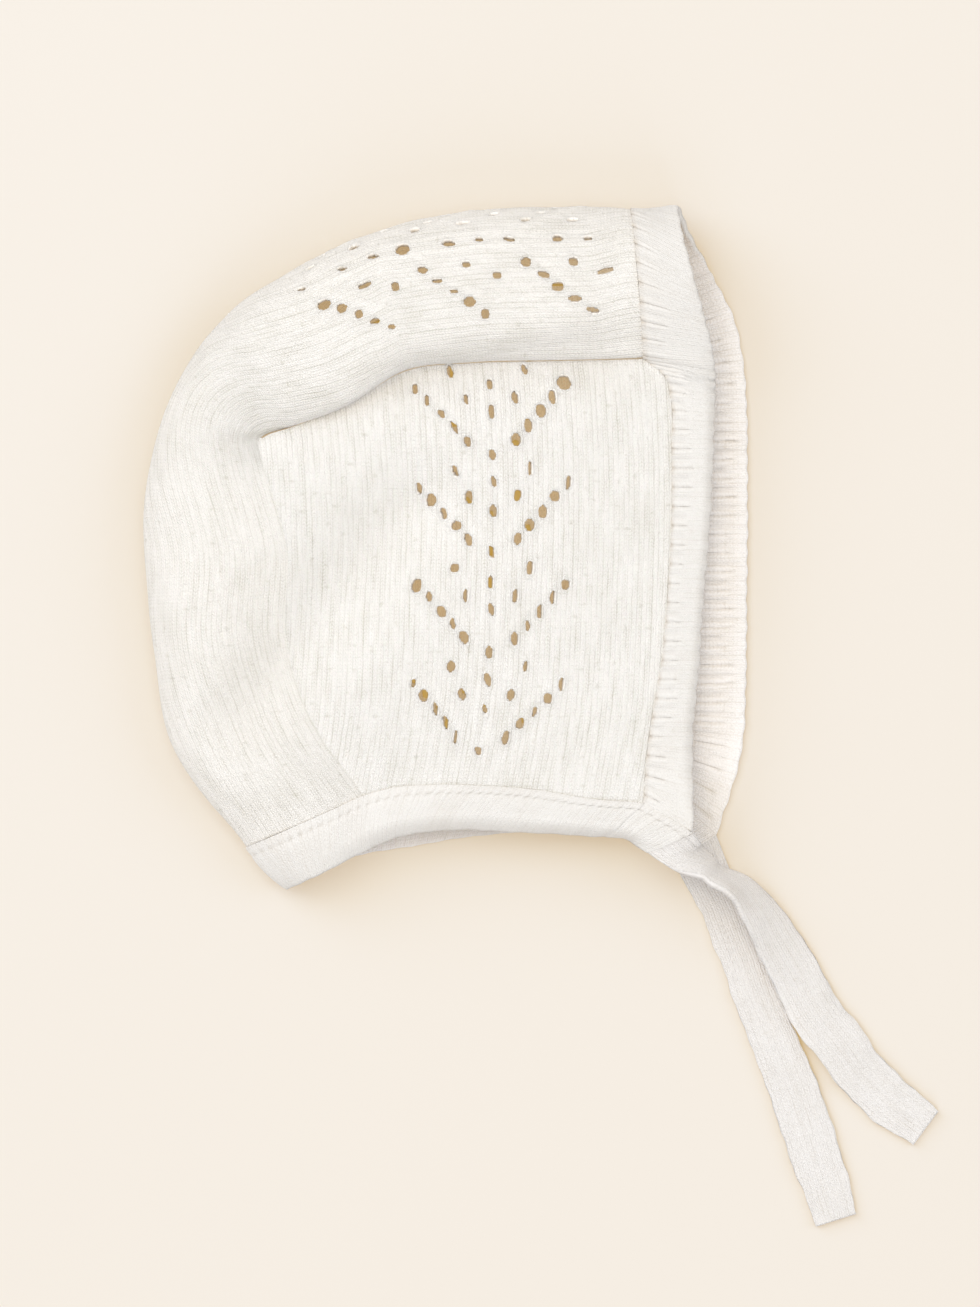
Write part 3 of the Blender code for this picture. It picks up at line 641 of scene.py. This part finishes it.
def makeFaceBand(upper, crownGrid, lower):
    s = faceBand
    legs = [
        beyond(upper[::-1, -1], upper[::-1, -4], s["gap"]),
        beyond(crownGrid[0], crownGrid[3], s["gap"]),
        beyond(lower[:, -1], lower[:, -4], s["gap"]),
    ]
    legs[0][-1], legs[2][0] = legs[1][0], legs[1][-1]
    ribs = [round(lengthsAlong(leg)[-1] / s["rib"]) for leg in legs]
    grid, at = bandGrid(legs, faceEdge, [count * s["perRib"] for count in ribs], s["across"], level=(0, 2))
    phase = np.arange(grid.shape[1]) / s["perRib"]
    across = np.linspace(0, 1, s["across"] + 1)[:, None]
    normals = upNormals(grid, 8, 20)
    # each rib is puffy and parted from the next by a short groove that starts at the seam and dies out well
    # before the rolled free edge; the grooves differ in depth, and over the crown they nearly vanish
    chance = np.random.default_rng(seed + 3)
    count = int(phase[-1]) + 2
    deep = np.interp(phase, np.arange(count), chance.uniform(*s["deep"], count))
    offCrown = np.clip(np.abs(at - 1.5) / 0.5 - 0.2, 0, 1)
    deep = deep * (s["overCrown"] + (1 - s["overCrown"]) * offCrown)
    ends = np.interp(phase, np.arange(count), chance.uniform(*s["ends"], count))
    farSide = ease((at - s["farFrom"][0]) / s["farFrom"][1])
    ends = ends + s["farEnds"] * farSide  # on the far side they run on towards the free edge
    away = 0.5 - np.abs(np.mod(phase + 0.5, 1) - 0.5)
    inwards = ease((ends[None, :] - across) / s["endsFade"])
    bent = away + s["bend"] * np.sin(np.pi * across / s["bendOver"])
    groove = deep[None, :] * inwards * bell(bent, s["groove"])
    puffed = deep[None, :] * inwards * np.cos(2 * np.pi * phase)[None, :]
    swell = np.sin(np.pi * np.clip(0.10 + 0.9 * across, 0, 1)) ** 0.6
    uneven = wander(phase[None, :] * 0.004, across * 0.004, 0.0021, 3.1)
    rollAt, rollWidth = s["rollAt"]
    lift = s["crownHeight"] * swell + s["roll"] * bell(across - rollAt, rollWidth)
    lift = lift - s["relief"] * (groove + s["puffed"] * puffed) + s["uneven"] * uneven
    starts, ended, over = s["nearSide"]
    nearSide = (ease(at / starts) * ease((ended - at) / over))[None, :]
    curled = nearSide * np.clip((across - s["curlFrom"]) / (1 - s["curlFrom"]), 0, 1) ** 2
    lift = lift - s["curl"] * curled
    # on the far side the inner face is the one that shows, so there the relief stands up from it
    turned = (farSide * ease((3 - at) / 0.12))[None, :]
    lift = lift * (1 - 2 * turned) - s["farLift"] * turned * ease(across / 0.10)
    ragged = s["ragged"] * wander(phase * 0.004, phase * 0.001, 0.0019, 1.3)
    wave = -s["scallop"] * np.cos(2 * np.pi * phase) + ragged
    aside = wave[None, :] * across**4 - s["drawnIn"] * curled
    points = grid + normals * lift[..., None] + unit(grid[-1] - grid[0]) * aside[..., None]
    points[..., 2] = np.maximum(points[..., 2], s["wall"] / 2 + 0.0001)
    width = np.linalg.norm(grid[-1] - grid[0], axis=1).mean()
    stitches = np.stack(np.broadcast_arrays(4 * phase[None, :], across * width / s["course"]), axis=2)
    # the grooves and a row of dots along the seam are painted darker as shade
    wide, long = s["seamShadeDots"]
    seamShadeDots = bell(across, wide) * (0.25 + 0.75 * bell(away, long))
    shade = np.clip(s["grooveShade"] * groove + seamShadeDots, 0, 1)
    return gridMesh("faceBand", points, stitches, shade, flip=True, joined=(1, 0, 1, 1)), points


# Plain band round the neck, worked double, with a linked row where it meets the panels
neckBand = {
    "wall": 0.0018, "gap": 0.00003, "bulge": 0.00085, "curl": 0.0042, "drawnIn": 0.0008,
    "across": 22, "cell": 0.00055, "course": 0.00090, "linked": 0.00034, "linkedAt": (0.17, 0.045),
    "linkPitch": 0.00235, "uneven": 0.00016, "ragged": 0.00025, "curlFrom": 0.60,
    "nearSide": (0.02, 0.12, 1.25, 0.35), "linkedShade": 0.36, "seamShade": (0.10, 0.06),
}
neckEdge = {
    "along": [0, 0.09, 0.25, 0.45, 0.65, 0.85, 1.0, 1.18, 1.35, 1.52, 1.75, 2.0, 2.2, 2.45, 2.7, 2.9, 3],
    "u": [0.836, 0.795, 0.730, 0.612, 0.500, 0.412, 0.355, 0.300, 0.262, 0.233,
          0.268, 0.350, 0.450, 0.580, 0.720, 0.815, 0.880],
    "v": [0.054, 0.073, 0.080, 0.086, 0.089, 0.078, 0.055, 0.030, 0.014, 0.003,
          0.022, 0.048, 0.064, 0.080, 0.084, 0.072, 0.038],
    "z": [0.48, 0.50, 0.52, 0.54, 0.55, 0.54, 0.50, 0.44, 0.36, 0.20,
          0.04, 0.0, 0.0, 0.0, 0.0, 0.0, 0.0],
}


def makeNeckBand(face, upper, crownGrid, lower):
    s = neckBand
    foot = np.array([0, s["gap"], 0])
    legs = [
        np.concatenate([face[::-1, 0] - foot, beyond(upper[-1, ::-1], upper[-4, ::-1], s["gap"])[1:]]),
        beyond(crownGrid[-1], crownGrid[-3], s["gap"]),
        np.concatenate([beyond(lower[-1], lower[-4], s["gap"])[:-1], face[:, -1] - foot]),
    ]
    legs[0][-1], legs[2][0] = legs[1][0], legs[1][-1]
    counts = [round(lengthsAlong(leg)[-1] / s["cell"]) for leg in legs]
    grid, at = bandGrid(legs, neckEdge, counts, s["across"])
    run = lengthsAlong(grid[s["across"] // 2])[None, :]
    across = np.linspace(0, 1, s["across"] + 1)[:, None]
    normals = upNormals(grid, 8, 40)
    # a soft roll across the width, a fine linked row a sixth of the way down, and slow unevenness
    roll = np.sin(np.pi * np.clip(0.05 + 0.95 * across, 0, 1)) ** 0.7
    linked = bell(across - s["linkedAt"][0], s["linkedAt"][1])
    dots = 0.5 + 0.5 * np.cos(2 * np.pi * run / s["linkPitch"])
    lift = s["bulge"] * roll - s["linked"] * linked * (0.35 + 0.65 * dots)
    lift = lift + s["uneven"] * wander(run + 0 * across, across * 0.01, 0.0022, 0.3)
    before, rises, ended, over = s["nearSide"]
    near = ease((at + before) / rises) * ease((ended - at) / over)
    curled = near[None, :] * np.clip((across - s["curlFrom"]) / (1 - s["curlFrom"]), 0, 1) ** 2
    lift = lift - s["curl"] * curled
    aside = s["ragged"] * wander(run, run * 0.3, 0.0013, 5.0) * across**3 - s["drawnIn"] * curled
    points = grid + normals * lift[..., None] + unit(grid[-1] - grid[0]) * aside[..., None]
    points[..., 2] = np.maximum(points[..., 2], s["wall"] / 2 + 0.0001)
    width = np.linalg.norm(grid[-1] - grid[0], axis=1).mean()
    stitches = np.stack(np.broadcast_arrays(run / knit["wale"], across * width / s["course"]), axis=2)
    # the linked row's dots and the seam are painted darker as shade
    dark, wide = s["seamShade"]
    shade = np.clip(s["linkedShade"] * linked * dots + dark * bell(across, wide), 0, 1)
    return gridMesh("neckBand", points, stitches, shade, joined=(1, 0, 1, 1)), points


# Flat knitted ties: each a ribbon, bare at its far end
tieKnit = {
    "width": 0.0125, "wall": 0.0016, "cells": (26, 190), "join": 0.12, "curl": 0.0005,
    "wave": 0.00030, "uneven": 0.00018, "gap": 0.00003, "pathStep": 6,
}
rightTie = {
    "along": [0, 0.05, 0.105, 0.134, 0.20, 0.29, 0.40, 0.48, 0.58, 0.69, 0.79, 0.88, 1],
    "u": [0.877, 0.901, 0.933, 0.946, 0.985, 1.022, 1.057, 1.084, 1.116, 1.160, 1.197, 1.239, 1.303],
    "v": [0.070, 0.050, 0.034, 0.024, 0.004, -0.034, -0.087, -0.127, -0.180, -0.232, -0.277,
          -0.312, -0.354],
    "lift": [0.48, 0.455, 0.40, 0.375, 0.32, 0.24, 0.150, 0.100, 0.082, 0.080, 0.050, 0.036, 0.036],
    "roll": [0, 28, 62, 66, 60, 44, 26, 14, 12, 12, 4, 0, 0],
    "width": [0.92, 0.90, 0.90, 0.90, 0.92, 0.96, 0.98, 1.0, 1.06, 1.06, 1.0, 1.02, 0.84],
}
leftTie = {
    "along": [0, 0.075, 0.15, 0.21, 0.30, 0.39, 0.54, 0.68, 0.79, 0.89, 1],
    "u": [0.919, 0.938, 0.960, 0.974, 0.995, 1.014, 1.053, 1.087, 1.110, 1.131, 1.152],
    "v": [0.055, 0.015, -0.025, -0.058, -0.107, -0.156, -0.237, -0.314, -0.376, -0.432, -0.491],
    "lift": [0.0] * 11,
    "roll": [0] * 11,
    "width": [0.92, 0.90, 0.86, 0.86, 0.86, 0.88, 0.94, 1.0, 1.02, 0.96, 0.84],
}


def makeTie(name, table, start, phase):
    # the width is laid across the middle line, level and then rolled about it; it begins on the band's end
    s = tieKnit
    cellsAcross, cellsAlong = s["cells"]
    at = np.linspace(0, 1, cellsAlong + 1)
    lift = np.maximum(column(table, "lift", at) * bonnet["lying"], 0.001)
    middle = np.stack([planX(column(table, "u", at)), planY(column(table, "v", at)), lift], axis=1)
    forward = unit(np.gradient(middle, axis=0))
    level = unit(np.cross(forward, [0.0, 0.0, 1.0]))
    upright = np.cross(level, forward)
    roll = np.radians(column(table, "roll", at))[:, None]
    side = level * np.cos(roll) + upright * np.sin(roll)
    half = (0.5 * s["width"] * column(table, "width", at))[:, None]
    across = np.linspace(-1, 1, cellsAcross + 1)[:, None, None]
    length = lengthsAlong(middle)
    free = ease((at - 0.05) / 0.1)
    wave = wander(length, length * 0.2, 0.0011, phase) + 0.8 * wander(length, length, 0.0031, phase)
    wave = s["wave"] * wave
    wide = half + (wave * free)[:, None] * np.sign(across) * np.abs(across) ** 2
    grid = middle + across * wide * side
    joined = (1 - ease(at / s["join"]))[None, :, None]
    grid = grid + joined * (evenly(start, cellsAcross + 1)[:, None] - grid[:, :1])
    normals = upNormals(grid, 5, -20)
    # the edges curl down a little, and the knit is slightly uneven
    uneven = wander(across[..., 0] * 0.006, length[None, :], 0.0026, phase)
    bend = -s["curl"] * np.abs(across[..., 0]) ** 4 + s["uneven"] * uneven
    grid = grid + normals * (bend * free[None, :])[..., None]
    grid[..., 2] = np.maximum(grid[..., 2], s["wall"] / 2 + 0.0001)
    run = np.broadcast_to(length[None, :], grid.shape[:2])
    stitches = np.stack([across[..., 0] * half[None, :, 0] / knit["wale"], run / knit["course"]], axis=2)
    obj = gridMesh(name, grid, stitches, None, flip=True, joined=(0, 0, 1, 0))
    addWall(obj, s["wall"])
    path = grid[cellsAcross // 2] + bonnet["shift"]
    points = [tuple(float(c) for c in point) for point in path[:: s["pathStep"]]]
    return obj, points, float(lengthsAlong(path)[-1])


# Making the pieces, each from the edges of the ones before it
crownObject, crownGrid = makeCrown()
upperObject, upperGrid = makeUpperPanel()
lowerObject, lowerGrid = makeLowerPanel(crownPoints[:, -1, :2])
faceObject, faceGrid = makeFaceBand(upperGrid, crownGrid, lowerGrid)
neckObject, neckGrid = makeNeckBand(faceGrid, upperGrid, crownGrid, lowerGrid)
for obj, table in ((crownObject, crown), (upperObject, upperPanel), (lowerObject, lowerPanel),
                   (faceObject, faceBand), (neckObject, neckBand)):
    addWall(obj, table["wall"])
print("panels and bands made")

rightStart = beyond(neckGrid[:, 0], neckGrid[:, 3], tieKnit["gap"])
leftStart = beyond(neckGrid[:, -1], neckGrid[:, -4], tieKnit["gap"])
rightTieObject, rightPath, rightLength = makeTie("tieRight", rightTie, rightStart, 0.6)
leftTieObject, leftPath, leftLength = makeTie("tieLeft", leftTie, leftStart, 2.2)
print("ties made", round(rightLength, 4), round(leftLength, 4))


# Shader groups: the stitches of the knit, and the slow unevenness of its yarn
def put(tree, kind, **values):
    node = tree.nodes.new(kind)
    for name, value in values.items():
        setattr(node, name, value)
    return node


def feed(tree, socket, value):
    if isinstance(value, bpy.types.NodeSocket):
        tree.links.new(value, socket)
    else:
        socket.default_value = value


def calc(tree, operation, *values, clamp=False):
    node = put(tree, "ShaderNodeMath", operation=operation, use_clamp=clamp)
    for socket, value in zip(node.inputs, values):
        feed(tree, socket, value)
    return node.outputs[0]


def noise(tree, where, scale, detail=2.0, roughness=0.5, flat=True):
    node = put(tree, "ShaderNodeTexNoise", noise_dimensions="2D" if flat else "3D")
    for name, value in (("Scale", scale), ("Detail", detail), ("Roughness", roughness)):
        node.inputs[name].default_value = value
    tree.links.new(where, node.inputs["Vector"])
    return node


def blend(tree, factor, first, second):
    node = put(tree, "ShaderNodeMix", data_type="RGBA")
    tree.links.new(factor, node.inputs["Factor"])
    node.inputs["A"].default_value = (*first, 1)
    node.inputs["B"].default_value = (*second, 1)
    return node.outputs["Result"]


stitchShape = {
    "wander": 0.30, "wanderScale": 0.45, "slant": 0.55, "legAt": 0.42, "legWidth": 0.58,
    "legPower": 1.7, "legDepth": 0.72, "bead": 0.6, "beadShare": 0.55, "fibre": (3.4, 3.0, 0.65),
    "streak": (0.9, 1.0), "streakStretch": 0.08, "streakGain": 6.0, "streakFloor": 0.15,
    "loop": (0.62, 0.0), "loopFrom": 0.74, "loopGain": 5.0, "tone": (95.0, 3.0), "toneShare": 0.35,
}


def makeStitchGroup():
    # V shaped stitches: the leg profile rises between the wale's middle and its edge, and each course is
    # rounded; the wale and course numbers wander a little, as soft yarn does
    s = stitchShape
    group = bpy.data.node_groups.new("knitStitches", "ShaderNodeTree")
    face = group.interface
    face.new_socket("Stitches", in_out="INPUT", socket_type="NodeSocketVector")
    face.new_socket("Wander", in_out="INPUT", socket_type="NodeSocketFloat").default_value = s["wander"]
    for name in ("Height", "Depth"):
        face.new_socket(name, in_out="OUTPUT", socket_type="NodeSocketFloat")
    start, end = put(group, "NodeGroupInput"), put(group, "NodeGroupOutput")
    where, amount = start.outputs["Stitches"], start.outputs["Wander"]

    def step(operation, *values, clamp=False):
        return calc(group, operation, *values, clamp=clamp)

    def split(vector):
        node = put(group, "ShaderNodeSeparateXYZ")
        group.links.new(vector, node.inputs[0])
        return node.outputs

    places, shift = split(where), split(noise(group, where, s["wanderScale"]).outputs["Color"])
    wale, course = (step("MULTIPLY_ADD", step("SUBTRACT", shift[i], 0.5), amount, places[i]) for i in (0, 1))
    edge = step("MULTIPLY", step("ABSOLUTE", step("SUBTRACT", step("FRACT", wale), 0.5)), 2.0)
    slant = step("FRACT", step("MULTIPLY_ADD", edge, s["slant"], course))
    off = step("DIVIDE", step("ABSOLUTE", step("SUBTRACT", edge, s["legAt"])), s["legWidth"])
    leg = step("SUBTRACT", 1.0, step("MULTIPLY", step("POWER", off, s["legPower"]), s["legDepth"]))
    arch = step("MULTIPLY", step("MULTIPLY", slant, step("SUBTRACT", 1.0, slant)), 4.0)
    bead = step("MULTIPLY_ADD", step("POWER", arch, s["bead"]), s["beadShare"], 1 - s["beadShare"])
    fibre = noise(group, where, *s["fibre"]).outputs["Fac"]
    rough = step("ADD", step("SUBTRACT", fibre, 0.5), step("MULTIPLY", leg, bead))
    # long streaks: along some wales the sunken stitches are painted in deeper shade than along others, for a
    # centimetre or so at a time
    drawn = put(group, "ShaderNodeCombineXYZ")
    group.links.new(wale, drawn.inputs[0])
    group.links.new(step("MULTIPLY", course, s["streakStretch"]), drawn.inputs[1])
    streak = noise(group, drawn.outputs[0], *s["streak"]).outputs["Fac"]
    uneven = step("MULTIPLY_ADD", step("SUBTRACT", streak, 0.5), s["streakGain"], 1.0)
    sunk = step("SUBTRACT", 1.0, rough, clamp=True)
    drawnIn = step("MULTIPLY", sunk, step("MAXIMUM", uneven, s["streakFloor"]))
    # single darker loops here and there
    loop = noise(group, where, *s["loop"]).outputs["Fac"]
    dot = step("MULTIPLY", step("SUBTRACT", loop, s["loopFrom"]), s["loopGain"], clamp=True)
    # Height feeds the bump; Depth is the painted shade of the sunken stitches plus the darker loops
    group.links.new(rough, end.inputs["Height"])
    group.links.new(step("ADD", drawnIn, dot), end.inputs["Depth"])
    return group


def makeYarnTone():
    # slow light and dark patches of the yarn, in metres on the piece
    group = bpy.data.node_groups.new("yarnTone", "ShaderNodeTree")
    group.interface.new_socket("Tone", in_out="OUTPUT", socket_type="NodeSocketFloat")
    where = put(group, "ShaderNodeTexCoord").outputs["Object"]
    patch = noise(group, where, *stitchShape["tone"], flat=False)
    group.links.new(patch.outputs["Fac"], put(group, "NodeGroupOutput").inputs["Tone"])
    return group


stitchGroup, toneGroup = makeStitchGroup(), makeYarnTone()
# each knit: its colour, the deep colour it is painted toward as shade, its bump, how much painted shade the
# sunken stitches get, and how much the shade attribute paints seams and grooves darker
finishes = {
    "sidePanelKnit": {"colour": (0.958, 0.914, 0.862), "deep": (0.62, 0.575, 0.47),
                      "bump": 0.00035, "sunkenShade": 0.31, "shade": 0.40},
    "crownKnit": {"colour": (0.968, 0.918, 0.858), "deep": (0.62, 0.575, 0.47),
                  "bump": 0.00035, "sunkenShade": 0.29, "shade": 0.40},
    # the bands' outer face is a shaded copy of the yarn, painted darker because the flat bands catch more
    # light than the panels, and the inner face a lit copy, painted lighter so the far band stays bright under
    # the near one
    "bandKnitShaded": {"colour": (0.792, 0.756, 0.714), "deep": (0.56, 0.48, 0.39),
                 "bump": 0.00018, "sunkenShade": 0.12, "shade": 0.74},
    "bandInnerKnitLit": {"colour": (0.965, 0.920, 0.885), "deep": (0.60, 0.52, 0.40),
                      "bump": 0.00022, "sunkenShade": 0.16, "shade": 0.60},
    "tieKnit": {"colour": (0.834, 0.791, 0.755), "deep": (0.62, 0.55, 0.46),
                "bump": 0.00026, "sunkenShade": 0.18, "shade": 0.3},
    # the inner faces are painted a warmer tan than the yarn as shade, and glow a little as painted light
    "innerKnitShadeAndGlow": {"colour": (0.96, 0.89, 0.77), "deep": (0.64, 0.52, 0.38),
                  "bump": 0.00028, "sunkenShade": 0.25, "shade": 0.2, "light": 0.17},
}
# the colour of the inner faces' painted glow
paintedInsideGlow = (0.92, 0.70, 0.42)  # the tan of light that has come through the thin open knit
softYarn = {
    "Roughness": 0.92, "Metallic": 0.0, "Specular IOR Level": 0.25, "Sheen Weight": 0.15,
    "Sheen Roughness": 0.6,
}


def startMaterial(name, surface):
    # the values that are the same all over are set on the shader's own sockets
    material = bpy.data.materials.new(name)
    material.use_nodes = True
    shader = material.node_tree.nodes["Principled BSDF"]
    for socket, value in surface.items():
        shader.inputs[socket].default_value = value
    return material, material.node_tree, shader


def makeKnit(name, values):
    # the yarn's colour turns to its deep colour as painted shade in the sunken stitches and where the shade
    # attribute marks seams, grooves and creases, and in slow random patches of tone
    material, tree, shader = startMaterial(name, softYarn)
    # the emission is a painted glow standing in for light that comes through the thin knit
    light = values.get("light", 0.0)
    shader.inputs["Emission Strength"].default_value = light
    stitches = put(tree, "ShaderNodeGroup", node_tree=stitchGroup)
    tree.links.new(put(tree, "ShaderNodeUVMap", uv_map="stitches").outputs[0], stitches.inputs["Stitches"])
    tone = put(tree, "ShaderNodeGroup", node_tree=toneGroup)
    shade = put(tree, "ShaderNodeAttribute", attribute_name="shade")
    depth = calc(tree, "MULTIPLY", stitches.outputs["Depth"], values["sunkenShade"])
    paintedShade = calc(tree, "MULTIPLY_ADD", shade.outputs["Fac"], values["shade"], depth)
    around = calc(tree, "SUBTRACT", tone.outputs["Tone"], 0.5)
    patch = calc(tree, "MULTIPLY_ADD", around, stitchShape["toneShare"], paintedShade, clamp=True)
    tree.links.new(blend(tree, patch, values["colour"], values["deep"]), shader.inputs["Base Color"])
    if light > 0:
        glow = blend(tree, shade.outputs["Fac"], paintedInsideGlow, (0, 0, 0))
        tree.links.new(glow, shader.inputs["Emission Color"])
    bump = put(tree, "ShaderNodeBump")
    bump.inputs["Strength"].default_value = 1.0
    bump.inputs["Distance"].default_value = values["bump"]
    tree.links.new(stitches.outputs["Height"], bump.inputs["Height"])
    tree.links.new(bump.outputs["Normal"], shader.inputs["Normal"])
    return material


knits = {name: makeKnit(name, values) for name, values in finishes.items()}
pieces = [
    (crownObject, "crownKnit", "innerKnitShadeAndGlow", "knit", "crown_panel"),
    (upperObject, "sidePanelKnit", "innerKnitShadeAndGlow", "knit", "side_panel_right"),
    (lowerObject, "sidePanelKnit", "innerKnitShadeAndGlow", "knit", "side_panel_left"),
    (faceObject, "bandKnitShaded", "bandInnerKnitLit", "band", "face_band"),
    (neckObject, "bandKnitShaded", "bandInnerKnitLit", "band", "neck_band"),
    (rightTieObject, "tieKnit", "tieKnit", "tie", "tie_right"),
    (leftTieObject, "tieKnit", "tieKnit", "tie", "tie_left"),
]
for obj, finish, within, slot, node in pieces:
    obj.data.materials.append(knits[finish])
    obj.data.materials.append(knits[within])
    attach(obj, "root")
    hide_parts(node)
print("materials and frame set")


# Pale floor under four large soft lights, the strongest overhead, in an evenly bright room
stage = {"floor": (0.412, 0.480, 0.554), "glow": (0.372, 0.207, 0.015), "size": 3.0,
         "patches": 9.0, "darker": 0.985}
paper = {"Roughness": 0.95, "Specular IOR Level": 0.1, "Emission Strength": 1.0}
lightsAim = (0.0, -0.02, 0.0)
lights = {
    "windowLeft": {"place": (-1.1, 0.75, 0.95), "size": 1.2, "power": 13.5, "colour": (0.72, 0.83, 1.0)},
    "windowRight": {"place": (1.4, 0.3, 1.15), "size": 1.2, "power": 8.0, "colour": (0.76, 0.85, 1.0)},
    "windowFront": {"place": (0.2, -1.9, 1.3), "size": 1.6, "power": 16.0, "colour": (0.76, 0.85, 1.0)},
    "overhead": {"place": (-0.35, 0.45, 2.4), "size": 1.8, "power": 28.5, "colour": (1.0, 0.905, 0.75)},
}
surround = {"colour": (1.0, 1.0, 0.98), "strength": 0.58}


def makeStage():
    half = stage["size"] / 2
    mesh = bpy.data.meshes.new("paleFloor")
    corners = [(-half, -half, 0), (half, -half, 0), (half, half, 0), (-half, half, 0)]
    mesh.from_pydata(corners, [], [(0, 1, 2, 3)])
    obj = addObject("paleFloor", mesh)
    material, tree, shader = startMaterial("paleFloor", paper)
    # a part of the floor's warm tone stays in the shade, as light scattered back by the paper does
    shader.inputs["Emission Color"].default_value = (*stage["glow"], 1)
    where = put(tree, "ShaderNodeTexCoord").outputs["Object"]
    patch = noise(tree, where, stage["patches"], flat=False).outputs["Fac"]
    darker = [value * stage["darker"] for value in stage["floor"]]
    tree.links.new(blend(tree, patch, stage["floor"], darker), shader.inputs["Base Color"])
    mesh.materials.append(material)


def makeLights():
    for name, values in lights.items():
        data = bpy.data.lights.new(name, "AREA")
        data.size = values["size"]
        data.energy = values["power"]
        data.color = values["colour"]
        obj = addObject(name, data)
        obj.location = values["place"]
        away = np.array(lightsAim) - np.array(values["place"])
        flat = np.hypot(away[0], away[1])
        obj.rotation_euler = (np.arctan2(flat, -away[2]), 0, np.arctan2(away[1], away[0]) - np.pi / 2)
    world = bpy.data.worlds.new("softRoom")
    world.use_nodes = True
    back = world.node_tree.nodes["Background"]
    back.inputs["Color"].default_value = (*surround["colour"], 1)
    back.inputs["Strength"].default_value = surround["strength"]
    bpy.context.scene.world = world
    bpy.context.scene.view_settings.view_transform = "Standard"


makeStage()
makeLights()
print("floor and light set")
